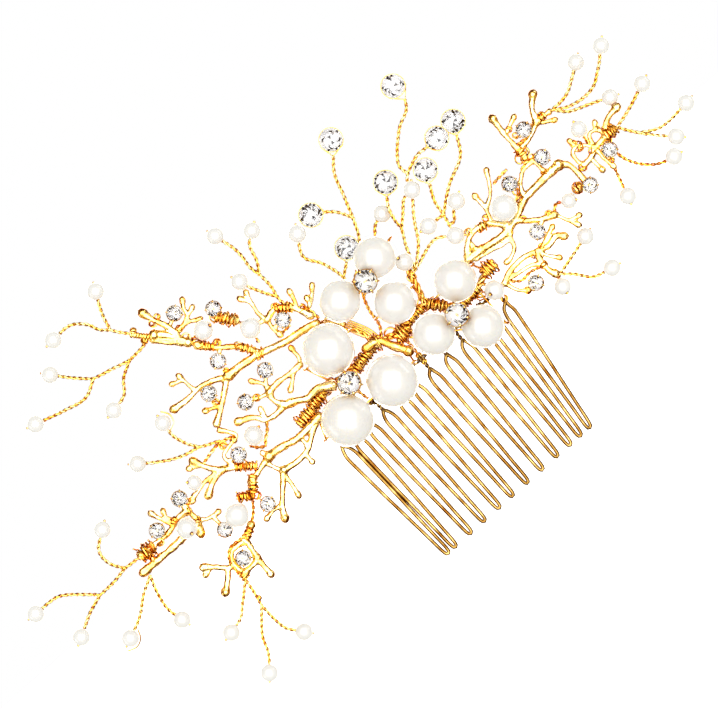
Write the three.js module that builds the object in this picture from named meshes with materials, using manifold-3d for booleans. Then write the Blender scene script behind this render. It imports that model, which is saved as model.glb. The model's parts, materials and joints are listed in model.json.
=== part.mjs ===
// Decorative hair comb, in millimetres: a twelve-tooth wire comb whose spine carries cast coral
// branches, imitation pearls, set stones and sprays of twisted wire.
// +X runs along the spine, +Z points away from the teeth, and the face looks towards -Y.
// The origin is the middle of the spine, where the comb is held in the hair. Heights below are
// measured from the tops of the teeth's arches, and the whole is lowered at the end.
import * as THREE from 'three';
import { mergeVertices } from 'three/addons/utils/BufferGeometryUtils.js';
import Module from 'manifold-3d';

const wasm = await Module();
wasm.setup();

// ---- driving dimensions ----
const SPINE_HEIGHT = 2.5;
const SPINE_HALF_LENGTH = 22;
const SPINE_RADIUS = 0.45;
const TOOTH_WIRE_RADIUS = 0.38;
const TOOTH_NECK_RADIUS = 0.42;
const TOOTH_ARCH = -0.3;
const TOOTH_ARCH_HALF_WIDTH = 0.2;
const TOOTH_SHOULDER = -2.4;
const TOOTH_TIP = -30;
const TOOTH_HALF_WIDTH = 1;
const TOOTH_TIP_HALF_WIDTH = 0.45;
const TOOTH_TIP_BEND = 0.9;
const TOOTH_BOW = 3.5;

const LARGE_PEARL = 5.2;
const MEDIUM_PEARL = 4.25;
const LARGE_PEARL_DEPTH = -6.5;
const MEDIUM_PEARL_DEPTH = -6;
const BORE_RADIUS = 0.55;
const STRING_RADIUS = 0.22;
const STRING_REACH = 0.5;
const STRING_BACK = -1.7;

const SPRAY_PEARL = 1.75;
const FAN_PEARL = 1.85;
const WIRE_RADIUS = 0.3;
const BUNDLE_RADIUS = 0.95;
const WRAP = 1.25;
const FAR_WRAP = 1.6;
const KNOT = 0.9;
const CORAL_DEPTH = -2.3;
const TRUNK = 0.8;
const BRANCH = 0.62;
const TWIG = 0.45;

const STONE_RADIUS = 1.7;
const STONE_HEIGHT = 2.4;
const STONE_CROWN = 0.7;
const STONE_FOOT_SHARE = 0.8;
const CENTRE_STONE_RADIUS = 2.6;
const CENTRE_STONE_TABLE = -10.9;
const CENTRE_CROWN = 0.8;
const CENTRE_GIRDLE = 0.3;
const CENTRE_CUP = 1.4;
const CENTRE_CUP_RADIUS = 1.2;
const CENTRE_CUP_FOOT = 1;
const POST_RADIUS = 0.45;
const CRYSTAL_RADIUS = 2.35;
const CRYSTAL_CROWN = 0.75;
const CRYSTAL_GIRDLE = 0.3;
const CRYSTAL_PAVILION = 1.55;
const TABLE_SHARE = 0.6;
const GAP = 0.3;

// ---- colours and finishes ----
const GOLD = { color: 0xd8a63a, roughness: 0.25, metalness: 1 };
const PEARL = { color: 0xf4ecdc, roughness: 0.3, metalness: 0 };
const CRYSTAL = { color: 0xe9eef2, roughness: 0.05, metalness: 0.1 };

// ---- how finely the round shapes are divided ----
const CAST_SIDES = 5;
const WIRE_SIDES = 4;
const SPINE_SIDES = 8;
const BEAD_SEGMENTS = 7;
const BEAD_RINGS = 4;
const PEARL_SEGMENTS = 12;
const PEARL_RINGS = 7;
const BORE_SIDES = 6;
const STONE_SIDES = 8;
const CENTRE_STONE_SIDES = 10;

// ---- solids ----
const comb = new THREE.Group();
const pieces = new THREE.Group();
pieces.position.z = -SPINE_HEIGHT;
comb.add(pieces);
const UP = new THREE.Vector3(0, 1, 0);

// A place on the comb, given across, up and, where it isn't the coral's own, in depth.
function place([across, up, depth = CORAL_DEPTH]) {
  return new THREE.Vector3(across, depth, up);
}

function asSolid(geometry) {
  const bare = geometry.clone();
  bare.deleteAttribute('normal');
  bare.deleteAttribute('uv');
  const merged = mergeVertices(bare);
  const vertProperties = new Float32Array(merged.attributes.position.array);
  const triVerts = new Uint32Array(merged.index.array);
  return new wasm.Manifold(new wasm.Mesh({ numProp: 3, vertProperties, triVerts }));
}

function asGeometry(solid) {
  const mesh = solid.getMesh();
  const geometry = new THREE.BufferGeometry();
  geometry.setAttribute('position', new THREE.BufferAttribute(mesh.vertProperties, 3));
  geometry.setIndex(new THREE.BufferAttribute(mesh.triVerts, 1));
  geometry.computeVertexNormals();
  return geometry;
}

function joinAll(geometries) {
  return geometries.map(asSolid).reduce((whole, piece) => whole.add(piece));
}

function addPiece(name, geometry, finish) {
  const mesh = new THREE.Mesh(geometry, new THREE.MeshStandardMaterial(finish));
  mesh.name = name;
  pieces.add(mesh);
  return mesh;
}

// A smooth curve through places, stepped so that a ring of the bar falls on every place.
class PlacedCurve extends THREE.CatmullRomCurve3 {
  getPointAt(fraction, target) {
    return this.getPoint(fraction, target);
  }

  getTangentAt(fraction, target) {
    return this.getTangent(fraction, target);
  }
}

// A round bar of constant radius along a smooth curve through the points.
function bar(points, radius, sides) {
  const section = new THREE.Shape();
  for (let corner = 0; corner < sides; corner += 1) {
    const angle = (2 * Math.PI * corner) / sides;
    const x = radius * Math.cos(angle);
    const y = radius * Math.sin(angle);
    if (corner === 0) section.moveTo(x, y);
    else section.lineTo(x, y);
  }
  section.closePath();
  const extrudePath = new PlacedCurve(points, false, 'centripetal');
  const steps = points.length - 1;
  return new THREE.ExtrudeGeometry(section, { steps, bevelEnabled: false, extrudePath });
}

// A branch is its radius followed by its places; a thin wire has fewer sides than cast metal.
function branch([radius, ...places]) {
  const sides = radius > TWIG ? CAST_SIDES : WIRE_SIDES;
  return bar(places.map(place), radius, sides);
}

function bead([across, up, depth], radius) {
  const geometry = new THREE.SphereGeometry(radius, BEAD_SEGMENTS, BEAD_RINGS);
  geometry.translate(across, depth, up);
  return geometry;
}

// A body of revolution about the depth axis, from [radius, depth] pairs, centred on a place.
function turned(profile, [across, up], segments) {
  const outline = profile.map(([radius, depth]) => new THREE.Vector2(radius, depth));
  const geometry = new THREE.LatheGeometry(outline, segments);
  geometry.translate(across, 0, up);
  return geometry;
}

// A small stone in its cup, standing on the front of a branch.
function setStone([across, up, depth = CORAL_DEPTH]) {
  const front = depth - STONE_HEIGHT;
  const profile = [
    [0, front],
    [STONE_RADIUS * TABLE_SHARE, front],
    [STONE_RADIUS, front + STONE_CROWN],
    [STONE_RADIUS * STONE_FOOT_SHARE, depth],
    [0, depth],
  ];
  return turned(profile, [across, up], STONE_SIDES);
}

// ---- the comb itself ----
function addSpine() {
  const ends = [-1, 1].map((side) => place([side * SPINE_HALF_LENGTH, SPINE_HEIGHT, 0]));
  addPiece('comb_spine', bar(ends, SPINE_RADIUS, SPINE_SIDES), GOLD);
}

// Where each tooth stands along the spine: the middle of its arch, its neck, and its tip.
const TEETH = [
  [-21.4, -21.5, -19.9],
  [-18.4, -18.4, -18],
  [-14.7, -14.7, -14],
  [-10.8, -10.8, -10.4],
  [-6.8, -6.8, -6.5],
  [-3, -2.7, -3],
  [1.1, 1.4, 0.9],
  [5.4, 5.7, 4.8],
  [9.7, 9.9, 8.7],
  [13.4, 13.4, 12.1],
  [16.9, 16.9, 14.8],
  [20.7, 21.1, 17.2],
];
const LEG_HEIGHTS = [TOOTH_SHOULDER, -10, -17, -24];

// One wire bent double: a neck gripped by the spine, a pointed arch, two legs and a closed tip.
function addTooth([arch, neck, tip], index) {
  const toothPlace = (offset, up) => {
    const along = (up - TOOTH_ARCH) / (TOOTH_TIP - TOOTH_ARCH);
    const across = THREE.MathUtils.lerp(arch, tip, along);
    return place([across + offset, up, TOOTH_BOW * along * along]);
  };
  const leg = (side) => LEG_HEIGHTS.map((up) => {
    const along = (up - TOOTH_SHOULDER) / (TOOTH_TIP - TOOTH_SHOULDER);
    const half = THREE.MathUtils.lerp(TOOTH_HALF_WIDTH, TOOTH_TIP_HALF_WIDTH, along);
    return toothPlace(side * half, up);
  });
  const tipBend = [
    toothPlace(-TOOTH_TIP_HALF_WIDTH, TOOTH_TIP + TOOTH_TIP_BEND),
    toothPlace(0, TOOTH_TIP + TOOTH_WIRE_RADIUS),
    toothPlace(TOOTH_TIP_HALF_WIDTH, TOOTH_TIP + TOOTH_TIP_BEND),
  ];
  const apex = (side) => place([neck + side * TOOTH_ARCH_HALF_WIDTH, TOOTH_ARCH, 0]);
  const places = [apex(-1), ...leg(-1), ...tipBend, ...leg(1).reverse(), apex(1)];
  const wire = bar(places, TOOTH_WIRE_RADIUS, CAST_SIDES);
  const neckTop = SPINE_HEIGHT - SPINE_RADIUS - GAP;
  const neckEnds = [place([neck, TOOTH_ARCH - TOOTH_NECK_RADIUS, 0]), place([neck, neckTop, 0])];
  const twist = bar(neckEnds, TOOTH_NECK_RADIUS, CAST_SIDES);
  const name = `comb_tooth_${String(index + 1).padStart(2, '0')}`;
  addPiece(name, asGeometry(joinAll([wire, twist])), GOLD);
}

// ---- pearls that turn on their wire ----
// Each string runs through its pearls in a straight line, and its ends go back to the binding.
const STRINGS = [
  {
    radius: LARGE_PEARL,
    depth: LARGE_PEARL_DEPTH,
    pearls: [['pearl_row_1', [-17.2, 3.1]], ['pearl_row_2', [-5.7, 3.1]]],
    from: [-20.5, 9.4, 0],
    to: [0.9, 8.4, 0],
  },
  {
    radius: MEDIUM_PEARL,
    depth: MEDIUM_PEARL_DEPTH,
    pearls: [['pearl_row_3', [6.4, 4.5]], ['pearl_row_4', [14.5, -0.7]]],
    from: [2, 8.6, 0],
    to: [18.6, 5.4, -0.6],
  },
  {
    radius: LARGE_PEARL,
    depth: LARGE_PEARL_DEPTH,
    pearls: [['pearl_left', [-11, 15.8]]],
    from: [-14.6, 10.6, 0],
    to: [-3.2, 11.4, 0],
  },
  {
    radius: MEDIUM_PEARL,
    depth: MEDIUM_PEARL_DEPTH,
    pearls: [['pearl_middle', [4.7, 14.1]]],
    from: [-0.3, 12.5, 0],
    to: [9.6, 10.8, 0],
  },
  {
    radius: MEDIUM_PEARL,
    depth: MEDIUM_PEARL_DEPTH,
    pearls: [['pearl_right', [16.3, 9.5]]],
    from: [11.4, 8.2, 0],
    to: [22, 7.6, 0],
  },
  {
    radius: MEDIUM_PEARL,
    depth: MEDIUM_PEARL_DEPTH,
    pearls: [['pearl_top_1', [-2.9, 21.4]], ['pearl_top_2', [7.6, 23.2]]],
    from: [-4.6, 14, 0],
    to: [1, 18.9, 0],
  },
];

function stringDirection({ pearls, depth }) {
  if (pearls.length === 1) return new THREE.Vector3(1, 0, 0);
  const first = place([...pearls[0][1], depth]);
  const last = place([...pearls[1][1], depth]);
  return last.sub(first).normalize();
}

function addPearls(string) {
  const sphere = new THREE.SphereGeometry(string.radius, PEARL_SEGMENTS, PEARL_RINGS);
  const drill = new THREE.CylinderGeometry(BORE_RADIUS, BORE_RADIUS, 3 * string.radius, BORE_SIDES);
  const drilled = asGeometry(asSolid(sphere).subtract(asSolid(drill)));
  const turn = new THREE.Quaternion().setFromUnitVectors(UP, stringDirection(string));
  for (const [name, centre] of string.pearls) {
    const pearl = addPiece(name, drilled.clone(), PEARL);
    pearl.position.copy(place([...centre, string.depth]));
    pearl.quaternion.copy(turn);
  }
}

function stringWire(string) {
  const direction = stringDirection(string);
  const reach = string.radius + STRING_REACH;
  const centres = string.pearls.map(([, centre]) => place([...centre, string.depth]));
  const start = centres[0].clone().addScaledVector(direction, -reach);
  const end = centres.at(-1).clone().addScaledVector(direction, reach);
  const from = place(string.from);
  const to = place(string.to);
  const startBack = start.clone().setY(STRING_BACK);
  const endBack = end.clone().setY(STRING_BACK);
  return bar([from, startBack, start, ...centres, end, endBack, to], STRING_RADIUS, WIRE_SIDES);
}

// ---- the wire that binds the ornament to the spine ----
const BINDING = [
  [BUNDLE_RADIUS, [-23.4, 8.9, 0], [-19.5, 10, 0], [-16, 10.2, 0], [-11, 10, 0], [-6, 10, 0]],
  [BUNDLE_RADIUS, [-6, 10, 0], [-2, 10.2, 0], [1.5, 9.4, 0], [6, 9.8, 0], [9.5, 9.8, 0]],
  [BUNDLE_RADIUS, [9.5, 9.8, 0], [12, 6.8, 0], [16, 5, 0], [20, 5.9, 0], [23.4, 7.4, 0]],
  [BRANCH, [-3.2, 10.4, 0], [-3.6, 13, 0], [-4.8, 15.8, 0]],
  [TWIG, [-2, 10.2, 0], [-0.3, 12.8, 0], [0.2, 16.5, 0], [1.6, 20, 0], [3.2, 20.9, 0]],
  [WIRE_RADIUS, [-12.2, 9.8, 0], [-12, 6, 0], [-11.5, 3.6, 0]],
  [TWIG, [1.5, 8.8, 0], [1.7, 6, 0], [1.6, 3.8, 0]],
  [WIRE_RADIUS, [11.2, 7.6, 0], [10.9, 5.4, 0], [10.5, 3.6, 0]],
  [TWIG, [19.5, 5.8, 0], [20.6, 4.8, 0], [21.2, 3.8, 0]],
  [BRANCH, [9, 10, 0], [10.3, 14, 0], [11, 17.2, 0]],
  [TWIG, [-19, 9.8, 0], [-20.6, 8.2, 0], [-22.4, 8.4, 0]],
  [TRUNK, [-5.5, 11.2, -1.4], [-2.5, 10.6, -1.4], [-1, 8, -1.7], [0.7, 5, -1.8]],
];

function addBinding() {
  const wires = [...BINDING.map(branch), ...STRINGS.map(stringWire)];
  addPiece('binding_wire', asGeometry(joinAll(wires)), GOLD);
}

// ---- the three larger stones, each on a post between the pearls ----
function addCentreStone(name, centre) {
  const girdle = CENTRE_STONE_TABLE + CENTRE_CROWN;
  const cupBack = girdle + CENTRE_GIRDLE + CENTRE_CUP;
  const postBack = -BUNDLE_RADIUS - GAP;
  const profile = [
    [0, CENTRE_STONE_TABLE],
    [CENTRE_STONE_RADIUS * TABLE_SHARE, CENTRE_STONE_TABLE],
    [CENTRE_STONE_RADIUS, girdle],
    [CENTRE_STONE_RADIUS, girdle + CENTRE_GIRDLE],
    [CENTRE_CUP_RADIUS, cupBack],
    [POST_RADIUS, cupBack + CENTRE_CUP_FOOT],
    [POST_RADIUS, postBack],
    [0, postBack],
  ];
  addPiece(name, turned(profile, centre, CENTRE_STONE_SIDES), CRYSTAL);
}

// ---- cast coral, with the stones and small beads fixed to each piece ----
const CORAL = {
  coral_upper_left: {
    branches: [
      [
        TRUNK,
        [-9.1, 21.1],
        [-12, 21.9],
        [-16, 22.5],
        [-19, 23.4],
        [-22, 24.2],
        [-25.5, 24.8],
        [-29.3, 25],
      ],
      [BRANCH, [-9.1, 21.1], [-9, 20.9, -0.9], [-8, 20.3, 0.3], [-6.4, 18.8, 0.4], [-5.6, 17.6, 0.4]],
      [BRANCH, [-29.3, 25], [-32, 26.3], [-35, 27], [-38, 26.8], [-41.5, 27.2]],
      [BRANCH, [-29.3, 25], [-32, 22.8], [-34.5, 21], [-37, 19.4]],
      [TWIG, [-35.7, 27.1], [-36, 29.5], [-36.2, 31.6]],
      [TWIG, [-36.1, 30.2], [-38.4, 31.1]],
      [TWIG, [-33.8, 21.6], [-37, 22.9]],
      [BRANCH, [-21.5, 24.6], [-23.6, 27.8], [-26.5, 30.2], [-28.4, 32], [-29.6, 33.6]],
      [TWIG, [-26.6, 30.1], [-28.5, 28.4]],
    ],
    stones: [[-34, 24.9], [-28.5, 28.4, -1.9]],
    beads: [],
  },
  coral_top_left: {
    branches: [
      [TRUNK, [-30.4, 34.8], [-31.5, 37], [-33, 39.3], [-34.7, 40.7]],
      [BRANCH, [-31, 37.6], [-31.6, 40.5], [-32.7, 43], [-33.4, 45.5]],
      [BRANCH, [-35.3, 40], [-33.6, 37.9], [-31.2, 35.8]],
      [TWIG, [-31.4, 38.2], [-28, 38], [-25.6, 36.8]],
      [TWIG, [-29.4, 38], [-27.2, 38.9], [-25.1, 39.7]],
      [TWIG, [-27.2, 38.9], [-26.6, 40.8], [-25.7, 42.2]],
      [TWIG, [-31.4, 39.6], [-28.7, 41]],
      [WIRE_RADIUS, [-30.6, 35.2], [-28.6, 35], [-26.6, 34.8, -3.6]],
    ],
    stones: [[-28.7, 41, -2.1]],
    beads: [[2, [-26.6, 34.8, -3.6]]],
  },
  coral_left_loop: {
    branches: [
      [BRANCH, [-16.9, 17.3], [-19.5, 17.3], [-22.5, 17.6], [-25.3, 17.2]],
      [TWIG, [-16.9, 17.3], [-16.3, 18.4], [-16.2, 21.1]],
      [TWIG, [-25.3, 17.2], [-24.8, 19], [-26.4, 21.4]],
      [TWIG, [-25.3, 17.2], [-27.2, 17.8], [-29.3, 19]],
      [TWIG, [-24.8, 18.4], [-23, 20.8]],
      [BRANCH, [-25.3, 17.2], [-25.4, 15.2], [-24.5, 13.4]],
      [TRUNK, [-24.5, 13.4], [-22.4, 12.6], [-20.4, 11.5], [-17.6, 11.5], [-14.8, 9.9]],
      [BRANCH, [-24.5, 13.4], [-27, 13.2], [-29.2, 13.7], [-30.6, 15.6], [-33.6, 17.1]],
      [TWIG, [-29, 13.6], [-28.5, 16.1]],
      [TWIG, [-18.5, 17.3], [-20.3, 15.9], [-21.9, 14.7]],
      [WIRE_RADIUS, [-29.2, 13.4], [-31, 11.6], [-32.9, 13, -3.8]],
    ],
    stones: [[-22.8, 21], [-29.8, 18.9]],
    beads: [[2, [-32.9, 13, -3.8]]],
  },
  coral_mid_left: {
    branches: [
      [TRUNK, [-20.8, 7.2], [-24, 7], [-27, 6.9], [-30.5, 7.7], [-33.8, 8]],
      [TWIG, [-33.8, 8], [-33.9, 9.4]],
      [BRANCH, [-33.8, 8], [-36.5, 7.2], [-39.4, 6.6]],
      [BRANCH, [-22, 6.9], [-24.3, 5.6], [-27, 3.9], [-30.5, 3.6], [-33.2, 4.1]],
      [TWIG, [-34.8, 7.6], [-34, 5.6], [-33.2, 4.1]],
      [TWIG, [-26.4, 6.9], [-26.5, 4.2]],
      [TWIG, [-27.8, 3.6], [-27.8, 1.4]],
      [BRANCH, [-33.2, 4.1], [-35, 2.1], [-37, 0], [-38.2, -1.4], [-39.2, -3.4]],
      [TWIG, [-33.4, 3.7], [-33.7, 1], [-34.2, -1.8]],
      [TWIG, [-37.5, -0.7], [-40, -0.5], [-42, -0.9]],
    ],
    stones: [[-39.7, 1.2]],
    beads: [],
  },
  coral_left_fork: {
    branches: [
      [BRANCH, [-37.6, 9.2], [-38.8, 10], [-40.5, 11.2], [-42.2, 12.2]],
      [BRANCH, [-42.2, 12.2], [-43.5, 13.8], [-44.4, 15.5], [-45.2, 17.4]],
      [TWIG, [-44.4, 15.5], [-46.9, 16.6]],
      [BRANCH, [-42.2, 12.2], [-45, 11.4], [-47.5, 10]],
      [TWIG, [-42.2, 12.2], [-45.5, 12.6], [-49, 11.9], [-50.7, 11.3]],
      [TWIG, [-39.5, 10.5], [-40, 13.8], [-38, 14.6], [-35.4, 15.2], [-37.3, 18.3]],
      [TWIG, [-39.8, 12.4], [-37.6, 12.1]],
      [WIRE_RADIUS, [-46.5, 12.6], [-47.7, 13.8, -3.4]],
    ],
    stones: [[-37.6, 12.1]],
    beads: [[1.6, [-47.7, 13.8, -3.4]]],
  },
  coral_far_left: {
    branches: [
      [TRUNK, [-67, 7.3, -2], [-62, 7.2, -2], [-57, 7.2, -2], [-52.3, 7.6, -2]],
      [BRANCH, [-52.2, 12.4, -2], [-52.2, 10, -2], [-52.3, 7.6, -2], [-53.5, 5.3, -2]],
      [TWIG, [-52.2, 8.2, -2], [-50.4, 6.8, -2], [-47.8, 6.4, -2]],
      [TWIG, [-49.4, 6.6, -2], [-49.3, 3.4, -2]],
      [BRANCH, [-52.2, 10.6, -2], [-55, 10.7, -2], [-57.5, 9.9, -2], [-61, 9.9, -2], [-65.2, 10, -2]],
      [FAR_WRAP, [-65, 10, -2], [-62.2, 10, -2]],
      [TWIG, [-56.3, 10.2, -2], [-57.3, 12.7, -2], [-58.1, 15.1, -2]],
      [TWIG, [-55, 10.7, -2], [-56.3, 12.2, -2], [-55.9, 13.9, -2]],
      [TWIG, [-63.6, 9.5, -2], [-63.6, 7.4, -2]],
      [WIRE_RADIUS, [-54.8, 10.4, -2], [-54.6, 8.1, -4.4]],
    ],
    stones: [[-59.3, 11.6, -1.8], [-51.9, 13.4, -1.8], [-49.3, 3, -1.8]],
    beads: [[2.1, [-54.6, 8.1, -4.4]]],
  },
  coral_lower_left: {
    branches: [
      [BRANCH, [-52.3, -5.9], [-52.4, -2.6], [-51.2, -1.1], [-47.6, -1.2]],
      [BRANCH, [-47.6, -1.2], [-48.3, -5.7]],
      [BRANCH, [-48.3, -5.7], [-52.3, -5.9]],
      [BRANCH, [-47.8, -1.1], [-46, -0.4], [-44.7, 0.4]],
      [BRANCH, [-48.3, -5.7], [-48.4, -9.7]],
      [BRANCH, [-52.4, -3.4], [-53.8, -3], [-55.5, -1.3], [-57.5, 0.4]],
      [TWIG, [-56.1, -0.8], [-58.2, -1.2]],
      [BRANCH, [-53.8, -3], [-55.2, -4.5], [-57.6, -6.4]],
      [WIRE_RADIUS, [-44.7, 0.4], [-42.9, 1.9], [-41.6, 3.5, -1.6], [-40.5, 5.2, -1.2]],
      [TWIG, [-52.4, -3.4], [-50.3, -3.5]],
      [KNOT, [-43.2, 5.9, -2.2], [-40.6, 4.4, -1.8]],
    ],
    stones: [[-50.3, -3.5]],
    beads: [],
  },
  coral_inner_left: {
    branches: [
      [TWIG, [-17.6, 28.7], [-16.2, 28], [-16.3, 26], [-16, 24.1]],
      [BRANCH, [-16.2, 28], [-14, 28.7], [-12.4, 28.2], [-10.8, 26.6], [-9.7, 24.6], [-9.1, 22.9]],
      [TWIG, [-16.2, 26], [-13.7, 26]],
      [TWIG, [-10.3, 25.8], [-9.5, 27.5], [-9, 29.6]],
      [TWIG, [-9.6, 24.4], [-7.9, 24.8, -1.4], [-7.3, 26.4, -1.4]],
      [TWIG, [-7.9, 24.8, -1.4], [-6.4, 25.8, -1.1], [-4.9, 27.5, -1.4]],
      [TWIG, [-16.2, 28], [-16.5, 30.4], [-16.2, 32.8], [-17.4, 34.9]],
      [TWIG, [-16.2, 32.8], [-15.5, 35]],
    ],
    stones: [[-13.7, 26]],
    beads: [],
  },
  wrapped_stem_left: {
    branches: [
      [WRAP, [-23, 35.3], [-21.7, 33.4], [-20.7, 31.9]],
      [WIRE_RADIUS, [-20.7, 32], [-19.6, 29.4, -4], [-20.2, 26, -1.9]],
    ],
    stones: [[-22.4, 36.6]],
    beads: [[2.15, [-19.5, 29, -4.3]]],
  },
  coral_right: {
    branches: [
      [
        TRUNK,
        [20.8, 10.8],
        [24, 10.7],
        [27.5, 10.1],
        [31, 10],
        [34, 10.9],
        [36.5, 12.2],
        [40, 12.7],
        [46.8, 13],
      ],
      [BRANCH, [46.8, 13], [48, 11.6], [48.3, 9.5], [48.3, 6]],
      [BRANCH, [21.2, 11.4], [24.3, 14], [27.5, 14.1], [29.3, 13], [31.3, 10.6]],
      [TWIG, [23.6, 13.3], [23.6, 11]],
      [TWIG, [29.3, 13.2], [30.2, 16], [30.3, 19.5]],
      [TWIG, [30.2, 15.8], [33, 17.8], [35.4, 21.7]],
      [TWIG, [22.2, 9.9], [25.5, 9.3], [29.4, 8.5], [30.9, 9.4]],
      [TWIG, [30, 8.7], [29.5, 6.8], [27.6, 5.6], [26.2, 5.5]],
      [BRANCH, [33, 10.4], [35.5, 8.3], [37.5, 7], [39.6, 6.2]],
      [TWIG, [39.6, 6.2], [40.8, 3.5], [41.8, 1.4]],
      [TWIG, [40.9, 3.4], [43.2, 2.9]],
      [TWIG, [37.4, 7.1], [34.7, 6]],
      [TWIG, [37.2, 12.6], [38.4, 15], [40.8, 16.8], [43.5, 16.9]],
      [TWIG, [43.5, 16.9], [43.6, 13]],
      [TWIG, [38.6, 15.2], [36.8, 16.4]],
      [KNOT, [45.9, 7.1], [47.5, 6.8]],
      [WIRE_RADIUS, [39.6, 6.3], [41, 7.6], [43.3, 6.4, -3.4]],
    ],
    stones: [[36.8, 16.5], [34.7, 5.9], [45, 16.2], [48.4, 5.9]],
    beads: [[1.6, [43.3, 6.4, -3.4]]],
  },
  coral_upper_right: {
    branches: [
      [BRANCH, [42.6, 18.1], [42.6, 21], [42.6, 24.5], [42.9, 28.5]],
      [BRANCH, [42.6, 20.2], [45.5, 20.6], [47.8, 21.6], [49.3, 22.3]],
      [BRANCH, [49, 22.1], [49.8, 24.4], [52.1, 26.8]],
      [TWIG, [48.5, 21.9], [52, 19.9]],
      [TWIG, [42.7, 24.2], [44.5, 25], [46.4, 25.8]],
      [TWIG, [49.3, 22.3], [52.2, 21.9]],
      [KNOT, [41.6, 18.9], [43.4, 19]],
    ],
    stones: [[45.9, 22.6]],
    beads: [],
  },
  coral_far_right: {
    branches: [
      [TWIG, [49.9, 12.7], [51, 13.4], [52.6, 12.7], [54.2, 10.8]],
      [TWIG, [49.9, 12.7], [49.8, 10.8], [50.3, 9.6]],
      [BRANCH, [50.3, 9.6], [52.2, 9.9], [54.6, 10.7], [57.2, 11]],
      [WRAP, [57, 11], [59.4, 10.9]],
      [BRANCH, [57.5, 11.6], [59.5, 13.3], [62.7, 13.9]],
      [TWIG, [54, 10.9], [55, 13.5], [56.5, 13.2], [57.6, 11.2]],
      [TWIG, [51.4, 13.3], [51.2, 15.2]],
      [TWIG, [56.3, 13.2], [57.4, 14.6]],
      [TWIG, [52.1, 9.9], [52.3, 6.4]],
      [TWIG, [54.1, 10.6], [54.1, 8], [54.4, 5.4]],
      [WIRE_RADIUS, [54.4, 5.6], [53.8, 3.6], [52.5, -0.5, -3.2]],
      [
        WIRE_RADIUS,
        [56.4, 8.2],
        [57.1, 5],
        [58.4, 2.8],
        [60.3, 0.8, -2.7],
        [62.2, -0.2, -3.2],
        [64.3, -0.7, -3.7],
      ],
      [WIRE_RADIUS, [53.6, 11.6], [54, 15.6, -3.4]],
    ],
    stones: [[55.8, 8.6]],
    beads: [
      [SPRAY_PEARL, [52.5, -0.5, -3.2]],
      [SPRAY_PEARL, [64.3, -0.7, -3.7]],
      [SPRAY_PEARL, [54, 15.6, -3.4]],
    ],
  },
  coral_lower_right: {
    branches: [
      [BRANCH, [23.2, 2.6], [26, 3.8], [29.5, 4], [32, 3.3], [34.5, 2.5], [37, 2.9], [38.3, 1.7]],
      [TWIG, [33.2, 3], [35.5, 4], [37.8, 4.8]],
      [TWIG, [32.3, 3], [33.3, 1], [34.8, -0.8]],
      [TWIG, [24, 2.9], [26.5, 2.4], [29.5, 1.9], [31.5, 0.6]],
      [BRANCH, [31.8, 3], [31.5, 0.6], [31.5, -1.2], [32.1, -2.6]],
      [TWIG, [23.4, 2.6], [24.6, -0.3], [26.4, -1.6]],
      [WIRE_RADIUS, [23.4, 2.6], [22.3, 3], [20.9, 3, -3.8]],
    ],
    stones: [[27.9, -1.3]],
    beads: [[2, [20.9, 3, -3.8]]],
  },
};

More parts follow.
